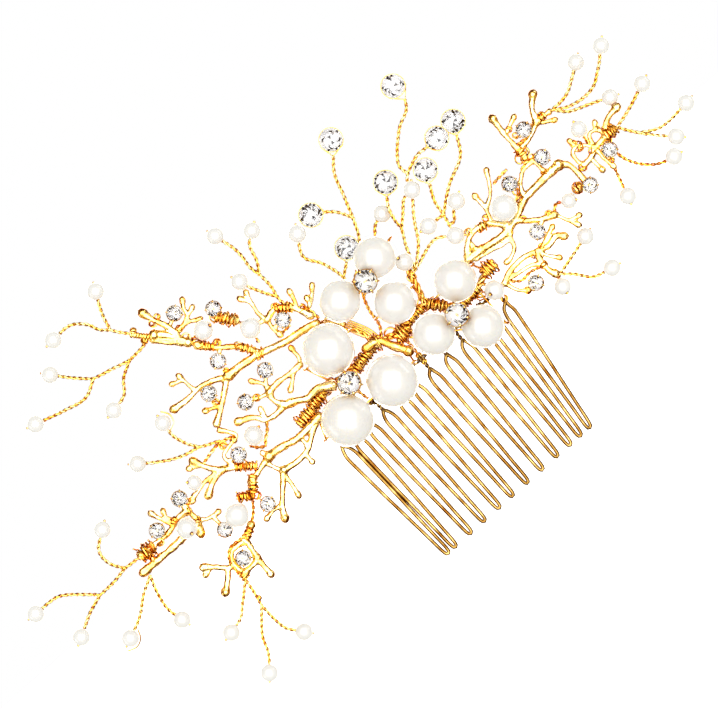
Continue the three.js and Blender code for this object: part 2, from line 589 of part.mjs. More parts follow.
// ---- sprays of twisted wire, each ending in a small pearl ----
const SPRAYS = {
  spray_top_left: {
    branches: [
      [WIRE_RADIUS, [-35.8, 41.3], [-37.5, 43.4], [-39.3, 45.6], [-40.2, 46.9]],
      [WIRE_RADIUS, [-40.2, 46.9], [-39.7, 49, -2], [-39.1, 51, -1.4], [-37.4, 54.5, -1]],
      [
        WIRE_RADIUS,
        [-40.2, 46.9],
        [-41.8, 48.4, -3],
        [-42.8, 50.6, -3.6],
        [-45.4, 52.7, -4.2],
        [-49.7, 52.7, -4.6],
      ],
      [WIRE_RADIUS, [-35.8, 41.3], [-37.2, 40.4], [-41.3, 40]],
      [WIRE_RADIUS, [-41.3, 40], [-45, 41, -2], [-49, 42, -1.8]],
      [WIRE_RADIUS, [-49, 42, -1.8], [-52, 44.9, -1], [-54.9, 48.3, -0.4]],
      [WIRE_RADIUS, [-49, 42, -1.8], [-52.6, 40.2, -2.4], [-57, 41, -3], [-63.2, 42.8, -3.4]],
      [WIRE_RADIUS, [-41.3, 40], [-44.4, 38.2, -3], [-46.7, 35.5, -3.8], [-50, 34.7, -4.4]],
    ],
    beads: [
      [-37.4, 54.5, -1],
      [-49.7, 52.7, -4.6],
      [-54.9, 48.3, -0.4],
      [-63.2, 42.8, -3.4],
      [-50, 34.7, -4.4],
    ],
  },
  spray_top: {
    branches: [
      [WIRE_RADIUS, [-11.6, 29.5], [-11.1, 33], [-11.3, 35.8]],
      [WIRE_RADIUS, [-11.3, 35.8], [-11.7, 38, -1.8], [-11.5, 42, -1], [-12.8, 47.1, -0.6]],
      [WIRE_RADIUS, [-11.3, 35.8], [-10, 37.8, -3], [-8.8, 41.4, -3.6], [-6.7, 43, -4]],
      [WIRE_RADIUS, [-11.5, 30], [-13, 32.5, -3], [-14.2, 34.8, -3.4], [-15.1, 37.2, -3.6]],
    ],
    beads: [[-12.8, 47.1, -0.6], [-6.7, 43, -4], [-15.1, 37.2, -3.6]],
  },
  spray_left: {
    branches: [
      [WIRE_RADIUS, [-38.6, 16.6], [-40.9, 17.6], [-42.5, 18.4]],
      [WIRE_RADIUS, [-42.5, 18.4], [-44, 21, -3], [-44.7, 23.3, -3.6], [-44.5, 26.5, -4.2]],
      [WIRE_RADIUS, [-42.5, 18.4], [-46.5, 19.4, -2], [-50.5, 21.6, -1.4], [-53.6, 23.9, -1]],
    ],
    beads: [[-44.5, 26.5, -4.2], [-53.6, 23.9, -1]],
  },
  spray_far_left: {
    branches: [
      [WIRE_RADIUS, [-65.6, 10, -2], [-69, 10.3, -2]],
      [WIRE_RADIUS, [-69, 10.3, -2], [-70.6, 13.2, -2.6], [-70.4, 16.2, -3.2], [-67.1, 18.8, -3.6]],
      [WIRE_RADIUS, [-69, 10.3, -2], [-72.5, 9.7, -1.8], [-76, 9.6, -1.6]],
      [WIRE_RADIUS, [-76, 9.6, -1.6], [-79, 12.3, -1], [-82.5, 14.8, -0.6], [-88, 15.2, -0.2]],
      [WIRE_RADIUS, [-76, 9.6, -1.6], [-79.5, 8.4, -2.4], [-84.1, 5.9, -3.2]],
    ],
    beads: [[-67.1, 18.8, -3.6], [-88, 15.2, -0.2], [-84.1, 5.9, -3.2]],
  },
  spray_far_left_lower: {
    branches: [
      [WIRE_RADIUS, [-66.2, 5.9, -2], [-69.5, 4.1, -2.4], [-73, 1.3, -2.8], [-77.1, -0.6, -3.2]],
      [WIRE_RADIUS, [-66.2, 5.9, -2], [-67.4, 2.6, -1.6], [-68, -1.2, -1.2], [-67.3, -4.6, -1]],
    ],
    beads: [[-77.1, -0.6, -3.2], [-67.3, -4.6, -1]],
  },
  spray_lower_left: {
    branches: [
      [WIRE_RADIUS, [-52.8, -7], [-56, -9.8, -2.8], [-58.6, -12, -3.4], [-61.6, -12.8, -3.8]],
      [WIRE_RADIUS, [-52.8, -7], [-53.2, -10], [-53.8, -12.8, -2.2]],
      [
        WIRE_RADIUS,
        [-53.8, -12.8, -2.2],
        [-57.6, -17.4, -2.8],
        [-58.9, -20.6, -3.2],
        [-61.3, -23.6, -3.6],
      ],
      [WIRE_RADIUS, [-53.8, -12.8, -2.2], [-53.7, -17, -1.6], [-53.2, -19.4, -1.2], [-51.1, -22.2, -0.8]],
    ],
    beads: [[-61.6, -12.8, -3.8], [-61.3, -23.6, -3.6], [-51.1, -22.2, -0.8]],
  },
  spray_upper_right: {
    branches: [
      [WIRE_RADIUS, [52.7, 21.8], [56.5, 22.1, -2], [59.5, 23.7, -1.4], [62.4, 25.7, -1]],
      [WIRE_RADIUS, [52.7, 21.8], [56, 20, -3], [61, 19.7, -3.6], [64.5, 21.8, -4.2], [67.9, 24.8, -4.6]],
      [WIRE_RADIUS, [52.7, 21.8], [55, 19.4, -1.9], [58.5, 18, -1.6], [62.8, 16.2, -1.4]],
    ],
    beads: [[62.4, 25.7, -1], [67.9, 24.8, -4.6], [62.8, 16.2, -1.4]],
  },
  spray_far_right: {
    branches: [
      [WIRE_RADIUS, [59.9, 10.9], [63.7, 11.9, -2.6], [69.1, 14, -3.2]],
      [WIRE_RADIUS, [59.9, 10.9], [61.2, 8.9], [62.5, 7.1]],
      [WIRE_RADIUS, [62.5, 7.1], [66, 5.3, -2], [69, 5.1, -1.6], [73.2, 5.5, -1.2]],
      [WIRE_RADIUS, [62.5, 7.1], [64.6, 4.6, -3], [67.2, 1.9, -3.6]],
    ],
    beads: [[69.1, 14, -3.2], [73.2, 5.5, -1.2], [67.2, 1.9, -3.6]],
  },
  spray_lower_right: {
    branches: [
      [WIRE_RADIUS, [32.6, -3.1], [34.8, -5.1, -2.8], [37, -7.8, -3.4], [40.9, -8.9, -3.8]],
      [WIRE_RADIUS, [32.6, -3.1], [36, -2.3, -1.8], [41.2, -0.9, -1.4]],
      [WIRE_RADIUS, [32.6, -3.1], [31.6, -3.8], [31.3, -5.3, -3]],
    ],
    beads: [[40.9, -8.9, -3.8], [41.2, -0.9, -1.4], [31.3, -5.3, -3]],
  },
};

// ---- the fan of crystals above the pearls ----
// Each crystal is [across, up, depth]; the wires below end just short of them.
const CRYSTALS = [
  [3.9, 37.7, -3],
  [16.6, 46.1, -2],
  [4.9, 28.3, -3.2],
  [19, 32.8, -3.4],
  [32.6, 45.9, -2],
  [26.4, 29.4, -4],
  [32.2, 32.6, -3],
  [36.8, 33, -2],
];
const FANS = {
  fan_wires_left: {
    branches: [
      [
        WIRE_RADIUS,
        [0.2, 21.6, -0.9],
        [0.6, 24.4, -1.6],
        [-0.6, 29, -2],
        [-2.6, 32.6, -2.4],
        [-0.5, 36.7, -2.6],
      ],
      [WIRE_RADIUS, [0.6, 24.4, -1.6], [3, 26.2, -1.8]],
      [WIRE_RADIUS, [0.2, 21.6, -0.9], [4.5, 24.5, -1.2], [8, 28.2, -1.6], [9.7, 31.9, -2.3]],
      [
        WIRE_RADIUS,
        [4.5, 24.5, -1.2],
        [7.5, 25.2, -1.4],
        [10.3, 26.2, -1.6],
        [12, 27.9, -1.4],
        [14.5, 28.7, -0.9],
      ],
      [WIRE_RADIUS, [9.7, 31.9, -2.3], [8.2, 34.6, -2.8], [6.3, 36.4, -3]],
      [WIRE_RADIUS, [9.7, 31.9, -2.3], [11.4, 36.8, -2.2], [12.7, 40.7, -2], [14.8, 43.4, -2]],
    ],
    beads: [[-0.5, 36.7, -2.6], [14.5, 28.7, -0.9]],
  },
  fan_wires_right: {
    branches: [
      [WIRE_RADIUS, [12.2, 16.2, 0], [16.2, 20, -1.4], [18.2, 23.4, -2], [21.9, 28.3, -2.8]],
      [WIRE_RADIUS, [13, 16.4, 0], [16, 17.6, -1.8], [19, 18.1, -2.6], [22.3, 16, -3.2]],
      [WIRE_RADIUS, [12.2, 16.2, 0], [13.6, 20.4, -1], [15.4, 24, -1.8]],
      [WIRE_RADIUS, [15.4, 24, -1.8], [15.5, 26.4, -3.2], [16.2, 28.8, -3.4], [17.3, 30.5, -3.2]],
      [WIRE_RADIUS, [15.4, 24, -1.8], [17.5, 26, -2.2], [19.7, 28.1, -2.6], [21.9, 28.3, -2.8]],
      [WIRE_RADIUS, [12.2, 16.2, 0], [11.4, 18.8, -2.4]],
      [WIRE_RADIUS, [22.3, 16, -3.2], [23.3, 20.6, -2.4]],
      [WIRE_RADIUS, [23.3, 20.6, -2.4], [23.8, 24, -2.8], [25.2, 26.8, -3.6]],
      [WIRE_RADIUS, [23.3, 20.6, -2.4], [28, 24.2, -2.2], [33.4, 27, -2], [35.5, 30.4, -2]],
      [WIRE_RADIUS, [23.3, 20.6, -2.4], [19.6, 20.9, -2.9]],
      [WIRE_RADIUS, [22.9, 18.5, -2.8], [24, 18.2, -2.8], [25, 19.6, -3], [26.9, 20.9, -3.2]],
      [WIRE_RADIUS, [21.9, 28.3, -2.8], [22.4, 30.2, -2.4], [23.6, 31.4, -2.2]],
      [
        WIRE_RADIUS,
        [23.4, 31, -2.2],
        [23.2, 33.6, -2],
        [25.5, 36.6, -2],
        [28.5, 39.2, -2],
        [31.6, 40.8, -2],
        [32.6, 42.4, -2],
      ],
      [WIRE_RADIUS, [23.6, 31.4, -2.2], [27.2, 32.7, -2.2], [29.5, 32.6, -2.8]],
    ],
    beads: [
      [21.9, 28.3, -2.8],
      [22.3, 16, -3.2],
      [11.4, 18.8, -2.4],
      [19.6, 20.9, -2.9],
      [26.9, 20.9, -3.2],
    ],
  },
};

function addCoral(name, { branches, stones, beads }) {
  const solids = [
    ...branches.map(branch),
    ...stones.map(setStone),
    ...beads.map(([radius, centre]) => bead(centre, radius)),
  ];
  addPiece(name, asGeometry(joinAll(solids)), GOLD);
}

function addSpray(name, { branches, beads }, pearlRadius) {
  const solids = [...branches.map(branch), ...beads.map((centre) => bead(centre, pearlRadius))];
  addPiece(name, asGeometry(joinAll(solids)), GOLD);
}

// A round brilliant lying in the face of the comb, its table towards -Y and centred on its girdle.
function addCrystal(index, [across, up, depth]) {
  const front = depth - CRYSTAL_GIRDLE / 2;
  const back = depth + CRYSTAL_GIRDLE / 2;
  const profile = [
    [0, front - CRYSTAL_CROWN],
    [CRYSTAL_RADIUS * TABLE_SHARE, front - CRYSTAL_CROWN],
    [CRYSTAL_RADIUS, front],
    [CRYSTAL_RADIUS, back],
    [0, back + CRYSTAL_PAVILION],
  ];
  addPiece(`crystal_${index + 1}`, turned(profile, [across, up], STONE_SIDES), CRYSTAL);
}

// ---- the two loose beads among the coral ----
const MIDDLE_BEADS = [
  ['pearl_mid_left', [-45.4, 3.6, -5.3], 2.5],
  ['pearl_mid_right', [32.9, 13.8, -6.3], 2.75],
];

// ---- assembly ----
addSpine();
TEETH.forEach(addTooth);
STRINGS.forEach(addPearls);
addBinding();
addCentreStone('centre_stone_left', [-12.2, 8.3]);
addCentreStone('centre_stone_top', [3.2, 20.9]);
addCentreStone('centre_stone_right', [12.1, 4.3]);
Object.entries(CORAL).forEach(([name, piece]) => addCoral(name, piece));
Object.entries(SPRAYS).forEach(([name, piece]) => addSpray(name, piece, SPRAY_PEARL));
Object.entries(FANS).forEach(([name, piece]) => addSpray(name, piece, FAN_PEARL));
CRYSTALS.forEach((centre, index) => addCrystal(index, centre));
MIDDLE_BEADS.forEach(([name, centre, radius]) => addPiece(name, bead(centre, radius), PEARL));

export default comb;
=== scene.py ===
# Decorative hair comb: twisted gold wire, cast coral branches, pearls and cut stones.
# Pearls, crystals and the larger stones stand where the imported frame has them. Limbs and wires
# follow the same routes as in the CAD source. Shapes are built in millimetres and become metres
# when they are made into objects.
import json
import math
import random

import bmesh
import bpy
from mathutils import Matrix, Vector, noise


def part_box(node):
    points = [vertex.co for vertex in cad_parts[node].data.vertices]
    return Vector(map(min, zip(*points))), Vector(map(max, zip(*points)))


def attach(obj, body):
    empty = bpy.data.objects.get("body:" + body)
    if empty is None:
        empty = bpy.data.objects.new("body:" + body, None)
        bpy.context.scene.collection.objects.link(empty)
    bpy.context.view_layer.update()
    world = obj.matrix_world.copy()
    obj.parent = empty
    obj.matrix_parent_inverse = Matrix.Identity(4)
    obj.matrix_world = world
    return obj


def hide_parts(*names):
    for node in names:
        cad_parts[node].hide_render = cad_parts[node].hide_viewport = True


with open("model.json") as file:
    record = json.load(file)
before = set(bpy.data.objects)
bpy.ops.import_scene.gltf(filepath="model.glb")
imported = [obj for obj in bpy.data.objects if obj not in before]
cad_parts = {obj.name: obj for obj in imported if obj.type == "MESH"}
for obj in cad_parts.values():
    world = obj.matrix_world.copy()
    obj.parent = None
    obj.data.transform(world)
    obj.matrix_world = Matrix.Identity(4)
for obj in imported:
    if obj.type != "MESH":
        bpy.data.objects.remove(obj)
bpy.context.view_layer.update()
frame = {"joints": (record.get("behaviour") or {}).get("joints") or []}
chance = random.Random(7)

# ---- driving dimensions, in millimetres ----
# Heights are measured from the tops of the teeth's arches; the spine lies above them.
SPINE_HEIGHT = 2.5
SPINE_HALF_LENGTH = 22
CORAL_DEPTH = -2.3
TRUNK = 0.8
BRANCH = 0.62
TWIG = 0.45
LIMB_SWELL = 1.12
STRAND = 0.19
TWIST_PITCH = 2.3
WRAP_WIRE = 0.24
KNOT_WIRE = 0.17
ROPE_STRAND = 0.36
ROPE_PITCH = 5
SPINE_STRAND = 0.24
SPINE_PITCH = 3
TOOTH_WIRE = 0.4
TOOTH_TIP = -30
TOOTH_BOW = 3.5
# Where the two ends of a tooth's wire meet and twist, and where they wind round the spine.
NECK_HALF_WIDTH = 0.16
NECK_STRAND = 0.23
NECK_PITCH = 1.9
GRIP_HALF_LENGTH = 0.5
GRIP_RADIUS = 0.68
GRIP_WIRE = 0.2
STRING_WIRE = 0.22
STRING_REACH = 0.5
STRING_BACK = -1.7
LARGE_PEARL = 5.2
MEDIUM_PEARL = 4.25
PEARL_BORE = 0.55
SPRAY_PEARL = 1.75
FAN_PEARL = 1.85
BEAD_BORE = 0.38
MIDDLE_BORE = 0.4
# The small set stones: their cut, how far the girdle stands out from the metal, and their cup.
STONE_RADIUS = 1.53
STONE_CROWN = 0.5
STONE_PAVILION = 1
GIRDLE_HEIGHT = 1.7
CUP_DEPTH = 1.3
# The larger stones' cut, crown, pavilion and cup, as shares of the radius of the CAD node.
CENTRE_SHARES = (0.92, 0.32, 0.62, 0.75)
CRYSTAL_CROWN = 0.75
CRYSTAL_PAVILION = 1.5
VOXEL = 0.19
MM = 0.001
FRONT = Vector((0, -1, 0))
BACK = -FRONT


def place(point):
    """A place on the comb: across, up from the arches and, where it isn't the coral's own, depth."""
    depth = point[2] if len(point) > 2 else CORAL_DEPTH
    return Vector((point[0], depth, point[1] - SPINE_HEIGHT))


def every(points):
    """The places of all the points."""
    return [place(point) for point in points]


def node_box(node):
    """The low and high corners of a CAD node, in millimetres."""
    low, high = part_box(node)
    return low / MM, high / MM


# ---- routes ----
def catmull(before, start, end, after, share):
    """A point on the centripetal curve from start to end."""
    knots = [max((b - a).length ** 0.5, 1e-4) for a, b in ((before, start), (start, end), (end, after))]
    leaving = (start - before) / knots[0] - (end - before) / (knots[0] + knots[1])
    leaving = (leaving + (end - start) / knots[1]) * knots[1]
    arriving = (end - start) / knots[1] - (after - start) / (knots[1] + knots[2])
    arriving = (arriving + (after - end) / knots[2]) * knots[1]
    rise = end - start
    cubic = leaving + arriving - 2 * rise
    square = 3 * rise - 2 * leaving - arriving
    return start + share * (leaving + share * (square + share * cubic))


def smooth(places, step):
    """Evenly spaced points along a smooth curve through the places."""
    ends = [2 * places[0] - places[1], *places, 2 * places[-1] - places[-2]]
    fine = []
    for index in range(1, len(ends) - 2):
        count = max(4, math.ceil((ends[index + 1] - ends[index]).length / (0.5 * step)))
        fine += [catmull(*ends[index - 1:index + 3], k / count) for k in range(count)]
    fine.append(places[-1].copy())
    lengths = [0.0]
    for a, b in zip(fine, fine[1:]):
        lengths.append(lengths[-1] + (b - a).length)
    count = max(2, round(lengths[-1] / step))
    route, at = [], 0
    for k in range(count + 1):
        wanted = lengths[-1] * k / count
        while at < len(fine) - 2 and lengths[at + 1] < wanted:
            at += 1
        span = max(lengths[at + 1] - lengths[at], 1e-9)
        route.append(fine[at].lerp(fine[at + 1], min(1.0, (wanted - lengths[at]) / span)))
    return route


def frames(route):
    """The direction, side and top at each point, turned as little as possible on the way."""
    directions = []
    for index in range(len(route)):
        ahead = route[min(index + 1, len(route) - 1)]
        behind = route[max(index - 1, 0)]
        directions.append((ahead - behind).normalized())
    side = directions[0].orthogonal().normalized()
    made = []
    for direction in directions:
        side = (side - direction * side.dot(direction)).normalized()
        made.append((direction, side, direction.cross(side)))
    return made


# ---- shapes ----
class Shape:
    """Points and faces in millimetres, gathered from many parts before they become one object."""

    def __init__(self):
        self.points = []
        self.faces = []
        self.marks = []

    def add(self, points, faces, mark=0):
        first = len(self.points)
        self.points += points
        self.faces += [tuple(first + corner for corner in face) for face in faces]
        self.marks += [mark] * len(faces)


def rings(shape, circles, closed=False):
    """Joins circles of equal count into a skin; the first and last close to points unless closed."""
    sides = len(circles[0])
    points = [point for circle in circles for point in circle]
    count = len(circles)
    faces = []
    for row in range(count if closed else count - 1):
        a, b = row * sides, ((row + 1) % count) * sides
        for k in range(sides):
            n = (k + 1) % sides
            faces.append((a + k, a + n, b + n, b + k))
    if not closed:
        faces.append(tuple(reversed(range(sides))))
        faces.append(tuple((count - 1) * sides + k for k in range(sides)))
    shape.add(points, faces)


def circle_at(centre, side, top, radius, sides):
    """Points round a centre, in the plane of two directions."""
    spread = [2 * math.pi * k / sides for k in range(sides)]
    return [centre + radius * (math.cos(a) * side + math.sin(a) * top) for a in spread]


# The two circles of a rod's domed end: how far beyond it, and how wide, as shares of its radius.
DOME = ((0.76, 0.3), (0.4, 0.8))


def tube(shape, route, radius, sides=8):
    """A round rod along the route with domed ends. The radius is a number or one for each point."""
    radii = radius if isinstance(radius, list) else [radius] * len(route)
    axes = frames(route)
    circles = []
    for beyond, swell in DOME:
        centre = route[0] - axes[0][0] * radii[0] * beyond
        circles.append(circle_at(centre, axes[0][1], axes[0][2], radii[0] * swell, sides))
    for point, size, (_, side, top) in zip(route, radii, axes):
        circles.append(circle_at(point, side, top, size, sides))
    for beyond, swell in reversed(DOME):
        centre = route[-1] + axes[-1][0] * radii[-1] * beyond
        circles.append(circle_at(centre, axes[-1][1], axes[-1][2], radii[-1] * swell, sides))
    rings(shape, circles)


def hoop(shape, centre, radius, wire, parts=28):
    """A closed ring of wire in the face of the comb."""
    circles = []
    for k in range(parts):
        angle = 2 * math.pi * k / parts
        out = Vector((math.cos(angle), 0, math.sin(angle)))
        circles.append(circle_at(centre + radius * out, out, BACK, wire, 6))
    rings(shape, circles, closed=True)


def wound(route, axes, reach, pitch, per_turn, start=0.0):
    """The points of a wire wound about the route, per_turn of them for each turn."""
    fine = []
    length = sum((b - a).length for a, b in zip(route, route[1:]))
    count = max(4, round(per_turn * length / pitch))
    for k in range(count + 1):
        along = (len(route) - 1) * k / count
        at = min(int(along), len(route) - 2)
        share = along - at
        centre = route[at].lerp(route[at + 1], share)
        side = axes[at][1].lerp(axes[at + 1][1], share)
        top = axes[at][2].lerp(axes[at + 1][2], share)
        size = reach(k / count) if callable(reach) else reach
        angle = start + 2 * math.pi * k / per_turn
        fine.append(centre + size * (math.cos(angle) * side + math.sin(angle) * top))
    return fine


def twisted(shape, places, strand=STRAND, pitch=TWIST_PITCH, count=2):
    """Wires twisted together along the places, each touching its neighbour."""
    route = smooth(places, 0.5)
    axes = frames(route)
    reach = strand / math.sin(math.pi / count) if count > 2 else strand
    turn = chance.uniform(0, math.pi)
    for index in range(count):
        start = turn + 2 * math.pi * index / count
        tube(shape, wound(route, axes, reach, pitch, 10, start), strand, 6)


def wrapping(shape, start, end, radius, wire=WRAP_WIRE, core=True):
    """Wire wound by hand from start to end: an uneven coil, and a few loose turns crossing over it."""
    route = smooth([start, start.lerp(end, 0.5), end], 0.4)
    axes = frames(route)
    phase = chance.uniform(0, 6)
    if core:
        twisted(shape, [start, start.lerp(end, 0.5), end], 0.34 * radius, 3.2 * radius, 3)

    def reach(share):
        slow = 0.08 * math.sin(9 * share + phase)
        return radius * (0.94 + slow + 0.05 * math.sin(31 * share + 2 * phase))

    def outer_reach(share):
        return radius * (1.16 + 0.1 * math.sin(7 * share + phase))

    tube(shape, wound(route, axes, reach, 2.9 * wire, 16, phase), wire, 6)
    mirrored = [(direction, -side, top) for direction, side, top in axes]
    tube(shape, wound(route, mirrored, outer_reach, 1.15 * radius, 16, phase), 0.8 * wire, 6)


def knot(shape, centre, size, turns=3):
    """A small tangle of wire about a place, such as a hand leaves where it fixes two parts."""
    axis = Vector((chance.uniform(-1, 1), chance.uniform(-0.3, 0.3), chance.uniform(-1, 1))).normalized()
    side = axis.orthogonal().normalized()
    steps = 12
    lean = 0.13
    route = []
    for k in range(steps * turns + 1):
        turn = Matrix.Rotation(lean * k, 3, axis) @ Matrix.Rotation(2 * math.pi * k / steps, 3, side)
        route.append(centre + size * (turn @ axis))
    tube(shape, smooth(route, 0.25), KNOT_WIRE, 6)


def single(shape, places, radius=0.15):
    """One untwisted wire through the places."""
    tube(shape, smooth(every(places), 0.35), radius, 6)


def turned(shape, outline, centre, axis, segments):
    """A ring turned about an axis through the centre, from a closed outline of (radius, along)."""
    side = axis.orthogonal().normalized()
    top = axis.cross(side)
    circles = [circle_at(centre + along * axis, side, top, radius, segments) for radius, along in outline]
    rings(shape, circles, closed=True)


# A stone's three surfaces, in the order of GLASS_PARTS, and how many of its odd facets are painted black as a
# painted reflection.
GLASS, FOIL, SHADE = 0, 1, 2
SHADE_SHARE = 0.45


def facets(upper, lower):
    """Triangles between two rings, given as lists of indices; the lower may have half as many."""
    step = len(upper) // len(lower)
    made = []
    for k in range(len(upper)):
        n = (k + 1) % len(upper)
        made.append((upper[k], upper[n], lower[k // step]))
        if (k + 1) % step == 0:
            made.append((upper[n], lower[(k // step + 1) % len(lower)], lower[k // step]))
    return made


def brilliant(shape, centre, radius, front, back, tilt):
    """A brilliant-cut stone: its girdle at the centre, its table towards the front."""
    turn = Matrix.Rotation(tilt[0], 3, "X") @ Matrix.Rotation(tilt[1], 3, "Z")
    points = []

    def ring(count, size, along, offset=0.0):
        first = len(points)
        for k in range(count):
            angle = tilt[2] + 2 * math.pi * (k + offset) / count
            point = Vector((size * math.cos(angle), -along, size * math.sin(angle)))
            points.append(centre + turn @ point)
        return list(range(first, first + count))

    table = ring(8, 0.55 * radius, front)
    crown = ring(8, 0.8 * radius, 0.55 * front, 0.5)
    girdle = ring(16, radius, 0.06 * radius)
    under = ring(16, radius, -0.06 * radius)
    outer = ring(16, 0.72 * radius, -0.34 * back, 0.5)
    inner = ring(8, 0.4 * radius, -0.68 * back)
    culet = ring(1, 0, -back)
    top = [tuple(reversed(table))]
    for k in range(8):
        n = (k + 1) % 8
        start, middle, end = girdle[2 * k], girdle[2 * k + 1], girdle[(2 * k + 2) % 16]
        top += [(table[k], table[n], crown[k]), (table[n], crown[n], end, crown[k])]
        top += [(crown[k], middle, start), (crown[k], end, middle)]
    for k in range(16):
        n = (k + 1) % 16
        top.append((girdle[k], girdle[n], under[n], under[k]))
    bottom = facets(under, outer) + facets(outer, inner)
    bottom += [(inner[k], inner[(k + 1) % 8], culet[0]) for k in range(8)]
    shape.add(points, top, GLASS)
    first = len(shape.points) - len(points)
    for index, face in enumerate(bottom):
        # Some odd pavilion facets are painted black: painted reflection.
        dark = index % 2 == 1 and chance.random() < SHADE_SHARE
        shape.faces.append(tuple(first + corner for corner in face))
        shape.marks.append(SHADE if dark else FOIL)


def any_tilt(most):
    return (chance.uniform(-most, most), chance.uniform(-most, most), chance.uniform(0, 1))


def claw_cup(shape, centre, radius, depth, claws):
    """A metal cup behind a stone, whose claws bend over its edge."""
    outline = [
        (0.3 * radius, depth), (0.72 * radius, 0.8 * depth), (0.99 * radius, 0.2 * depth),
        (1.05 * radius, -0.04 * radius), (1.0 * radius, -0.07 * radius), (0.95 * radius, 0.14 * depth),
        (0.6 * radius, 0.62 * depth), (0.25 * radius, 0.7 * depth),
    ]
    turned(shape, [(size, -along) for size, along in outline], centre, FRONT, 28)
    turn = chance.uniform(0, 1)
    for k in range(claws):
        angle = turn + 2 * math.pi * k / claws
        out = Vector((math.cos(angle), 0, math.sin(angle)))
        route = [
            centre + 1.02 * radius * out + 0.4 * depth * BACK,
            centre + 1.12 * radius * out,
            centre + 1.04 * radius * out + 0.2 * radius * FRONT,
            centre + 0.88 * radius * out + 0.3 * radius * FRONT,
        ]
        tube(shape, smooth(route, 0.12 * radius), 0.1 * radius, 6)


def drilled_bead(shape, centre, radius, axis, hole, segments=40, rows=26):
    """A pearl with its bore: the edge of each hole is rounded by the layers of its coating."""
    edge = math.asin(hole / radius) + 0.06
    outline = []
    for row in range(rows + 1):
        angle = edge + (math.pi - 2 * edge) * row / rows
        outline.append((radius * math.sin(angle), -radius * math.cos(angle)))
    lip = outline[0][1]
    bore = [(hole, -lip - 0.08 * radius), (0.9 * hole, -lip - 0.3 * radius)]
    bore += [(0.9 * hole, lip + 0.3 * radius), (hole, lip + 0.08 * radius)]
    turned(shape, outline + bore, centre, axis, segments)


# ---- cast metal ----
def cast_branch(shape, branch):
    """One limb of coral: lumpy, thinner in its middle, with a swollen rounded end."""
    radius, *places = branch
    radius *= LIMB_SWELL
    route = smooth(every(places), 0.3)
    seed = chance.uniform(0, 50)
    radii = []
    for index, point in enumerate(route):
        share = index / (len(route) - 1)
        to_end = (1 - share) * 0.3 * (len(route) - 1)
        size = radius * (1.12 - 0.22 * math.sin(math.pi * min(1, share * 1.1)))
        size *= 1 + 0.2 * noise.noise(point * 0.9 + Vector((seed, 0, 0)))
        size += radius * 0.32 * math.exp(-((to_end - 0.35) / 0.55) ** 2)
        radii.append(size)
    tube(shape, route, radii, 10)


def melted(rough):
    """The rough limbs fused into one casting: remeshed, softened, and given an uneven skin."""
    mesh = bpy.data.meshes.new("casting")
    mesh.from_pydata(rough.points, [], rough.faces)
    scratch = bpy.data.objects.new("casting", mesh)
    bpy.context.scene.collection.objects.link(scratch)
    fuse = scratch.modifiers.new("fuse", "REMESH")
    fuse.mode = "VOXEL"
    fuse.voxel_size = VOXEL
    soften = scratch.modifiers.new("soften", "SMOOTH")
    soften.factor = 0.5
    soften.iterations = 3
    cast = bpy.data.meshes.new_from_object(scratch.evaluated_get(bpy.context.evaluated_depsgraph_get()))
    skin = Shape()
    points = []
    for vertex in cast.vertices:
        lump = 0.075 * noise.noise(vertex.co * 1.1) + 0.05 * noise.noise(vertex.co * 2.6)
        points.append(vertex.co + vertex.normal * lump)
    skin.add(points, [tuple(polygon.vertices) for polygon in cast.polygons])
    bpy.data.objects.remove(scratch)
    bpy.data.meshes.remove(mesh)
    bpy.data.meshes.remove(cast)
    return skin


# ---- materials ----
def new_material(name):
    material = bpy.data.materials.new(name)
    material.use_nodes = True
    nodes = material.node_tree.nodes
    return material, nodes, material.node_tree.links, nodes["Principled BSDF"]


def settle(node, values):
    """Sets a shader node's sockets by name."""
    for name, value in values.items():
        node.inputs[name].default_value = value


def noise_map(nodes, links, scale, detail, low=0, high=1):
    """The sockets of a noise in object space and of a map of it onto the range low to high."""
    where = nodes.new("ShaderNodeTexCoord")
    pattern = nodes.new("ShaderNodeTexNoise")
    settle(pattern, {"Scale": scale, "Detail": detail})
    links.new(where.outputs["Object"], pattern.inputs["Vector"])
    span = nodes.new("ShaderNodeMapRange")
    settle(span, {"From Min": 0.3, "From Max": 0.7, "To Min": low, "To Max": high})
    links.new(pattern.outputs["Fac"], span.inputs["Value"])
    return pattern.outputs["Fac"], span.outputs["Result"]


def ramp(nodes, links, source, stops):
    """The colour socket of a ramp through (position, colour) stops."""
    shades = nodes.new("ShaderNodeValToRGB")
    shades.color_ramp.elements[0].position = stops[0][0]
    shades.color_ramp.elements[0].color = (*stops[0][1], 1)
    shades.color_ramp.elements[1].position = stops[-1][0]
    shades.color_ramp.elements[1].color = (*stops[-1][1], 1)
    for position, colour in stops[1:-1]:
        shades.color_ramp.elements.new(position).color = (*colour, 1)
    links.new(source, shades.inputs["Fac"])
    return shades.outputs["Color"]


def clouded(nodes, links, scale, detail, stops):
    """A colour that wanders through the stops as a noise does."""
    cloud, _ = noise_map(nodes, links, scale, detail)
    return ramp(nodes, links, cloud, stops)


def polished(nodes, links, scale, detail, low, high, shader):
    _, polish = noise_map(nodes, links, scale, detail, low, high)
    links.new(polish, shader.inputs["Roughness"])


def bump(nodes, links, scale, detail, strength, distance, shader):
    skin, _ = noise_map(nodes, links, scale, detail)
    relief = nodes.new("ShaderNodeBump")
    settle(relief, {"Strength": strength, "Distance": distance})
    links.new(skin, relief.inputs["Height"])
    links.new(relief.outputs["Normal"], shader.inputs["Normal"])


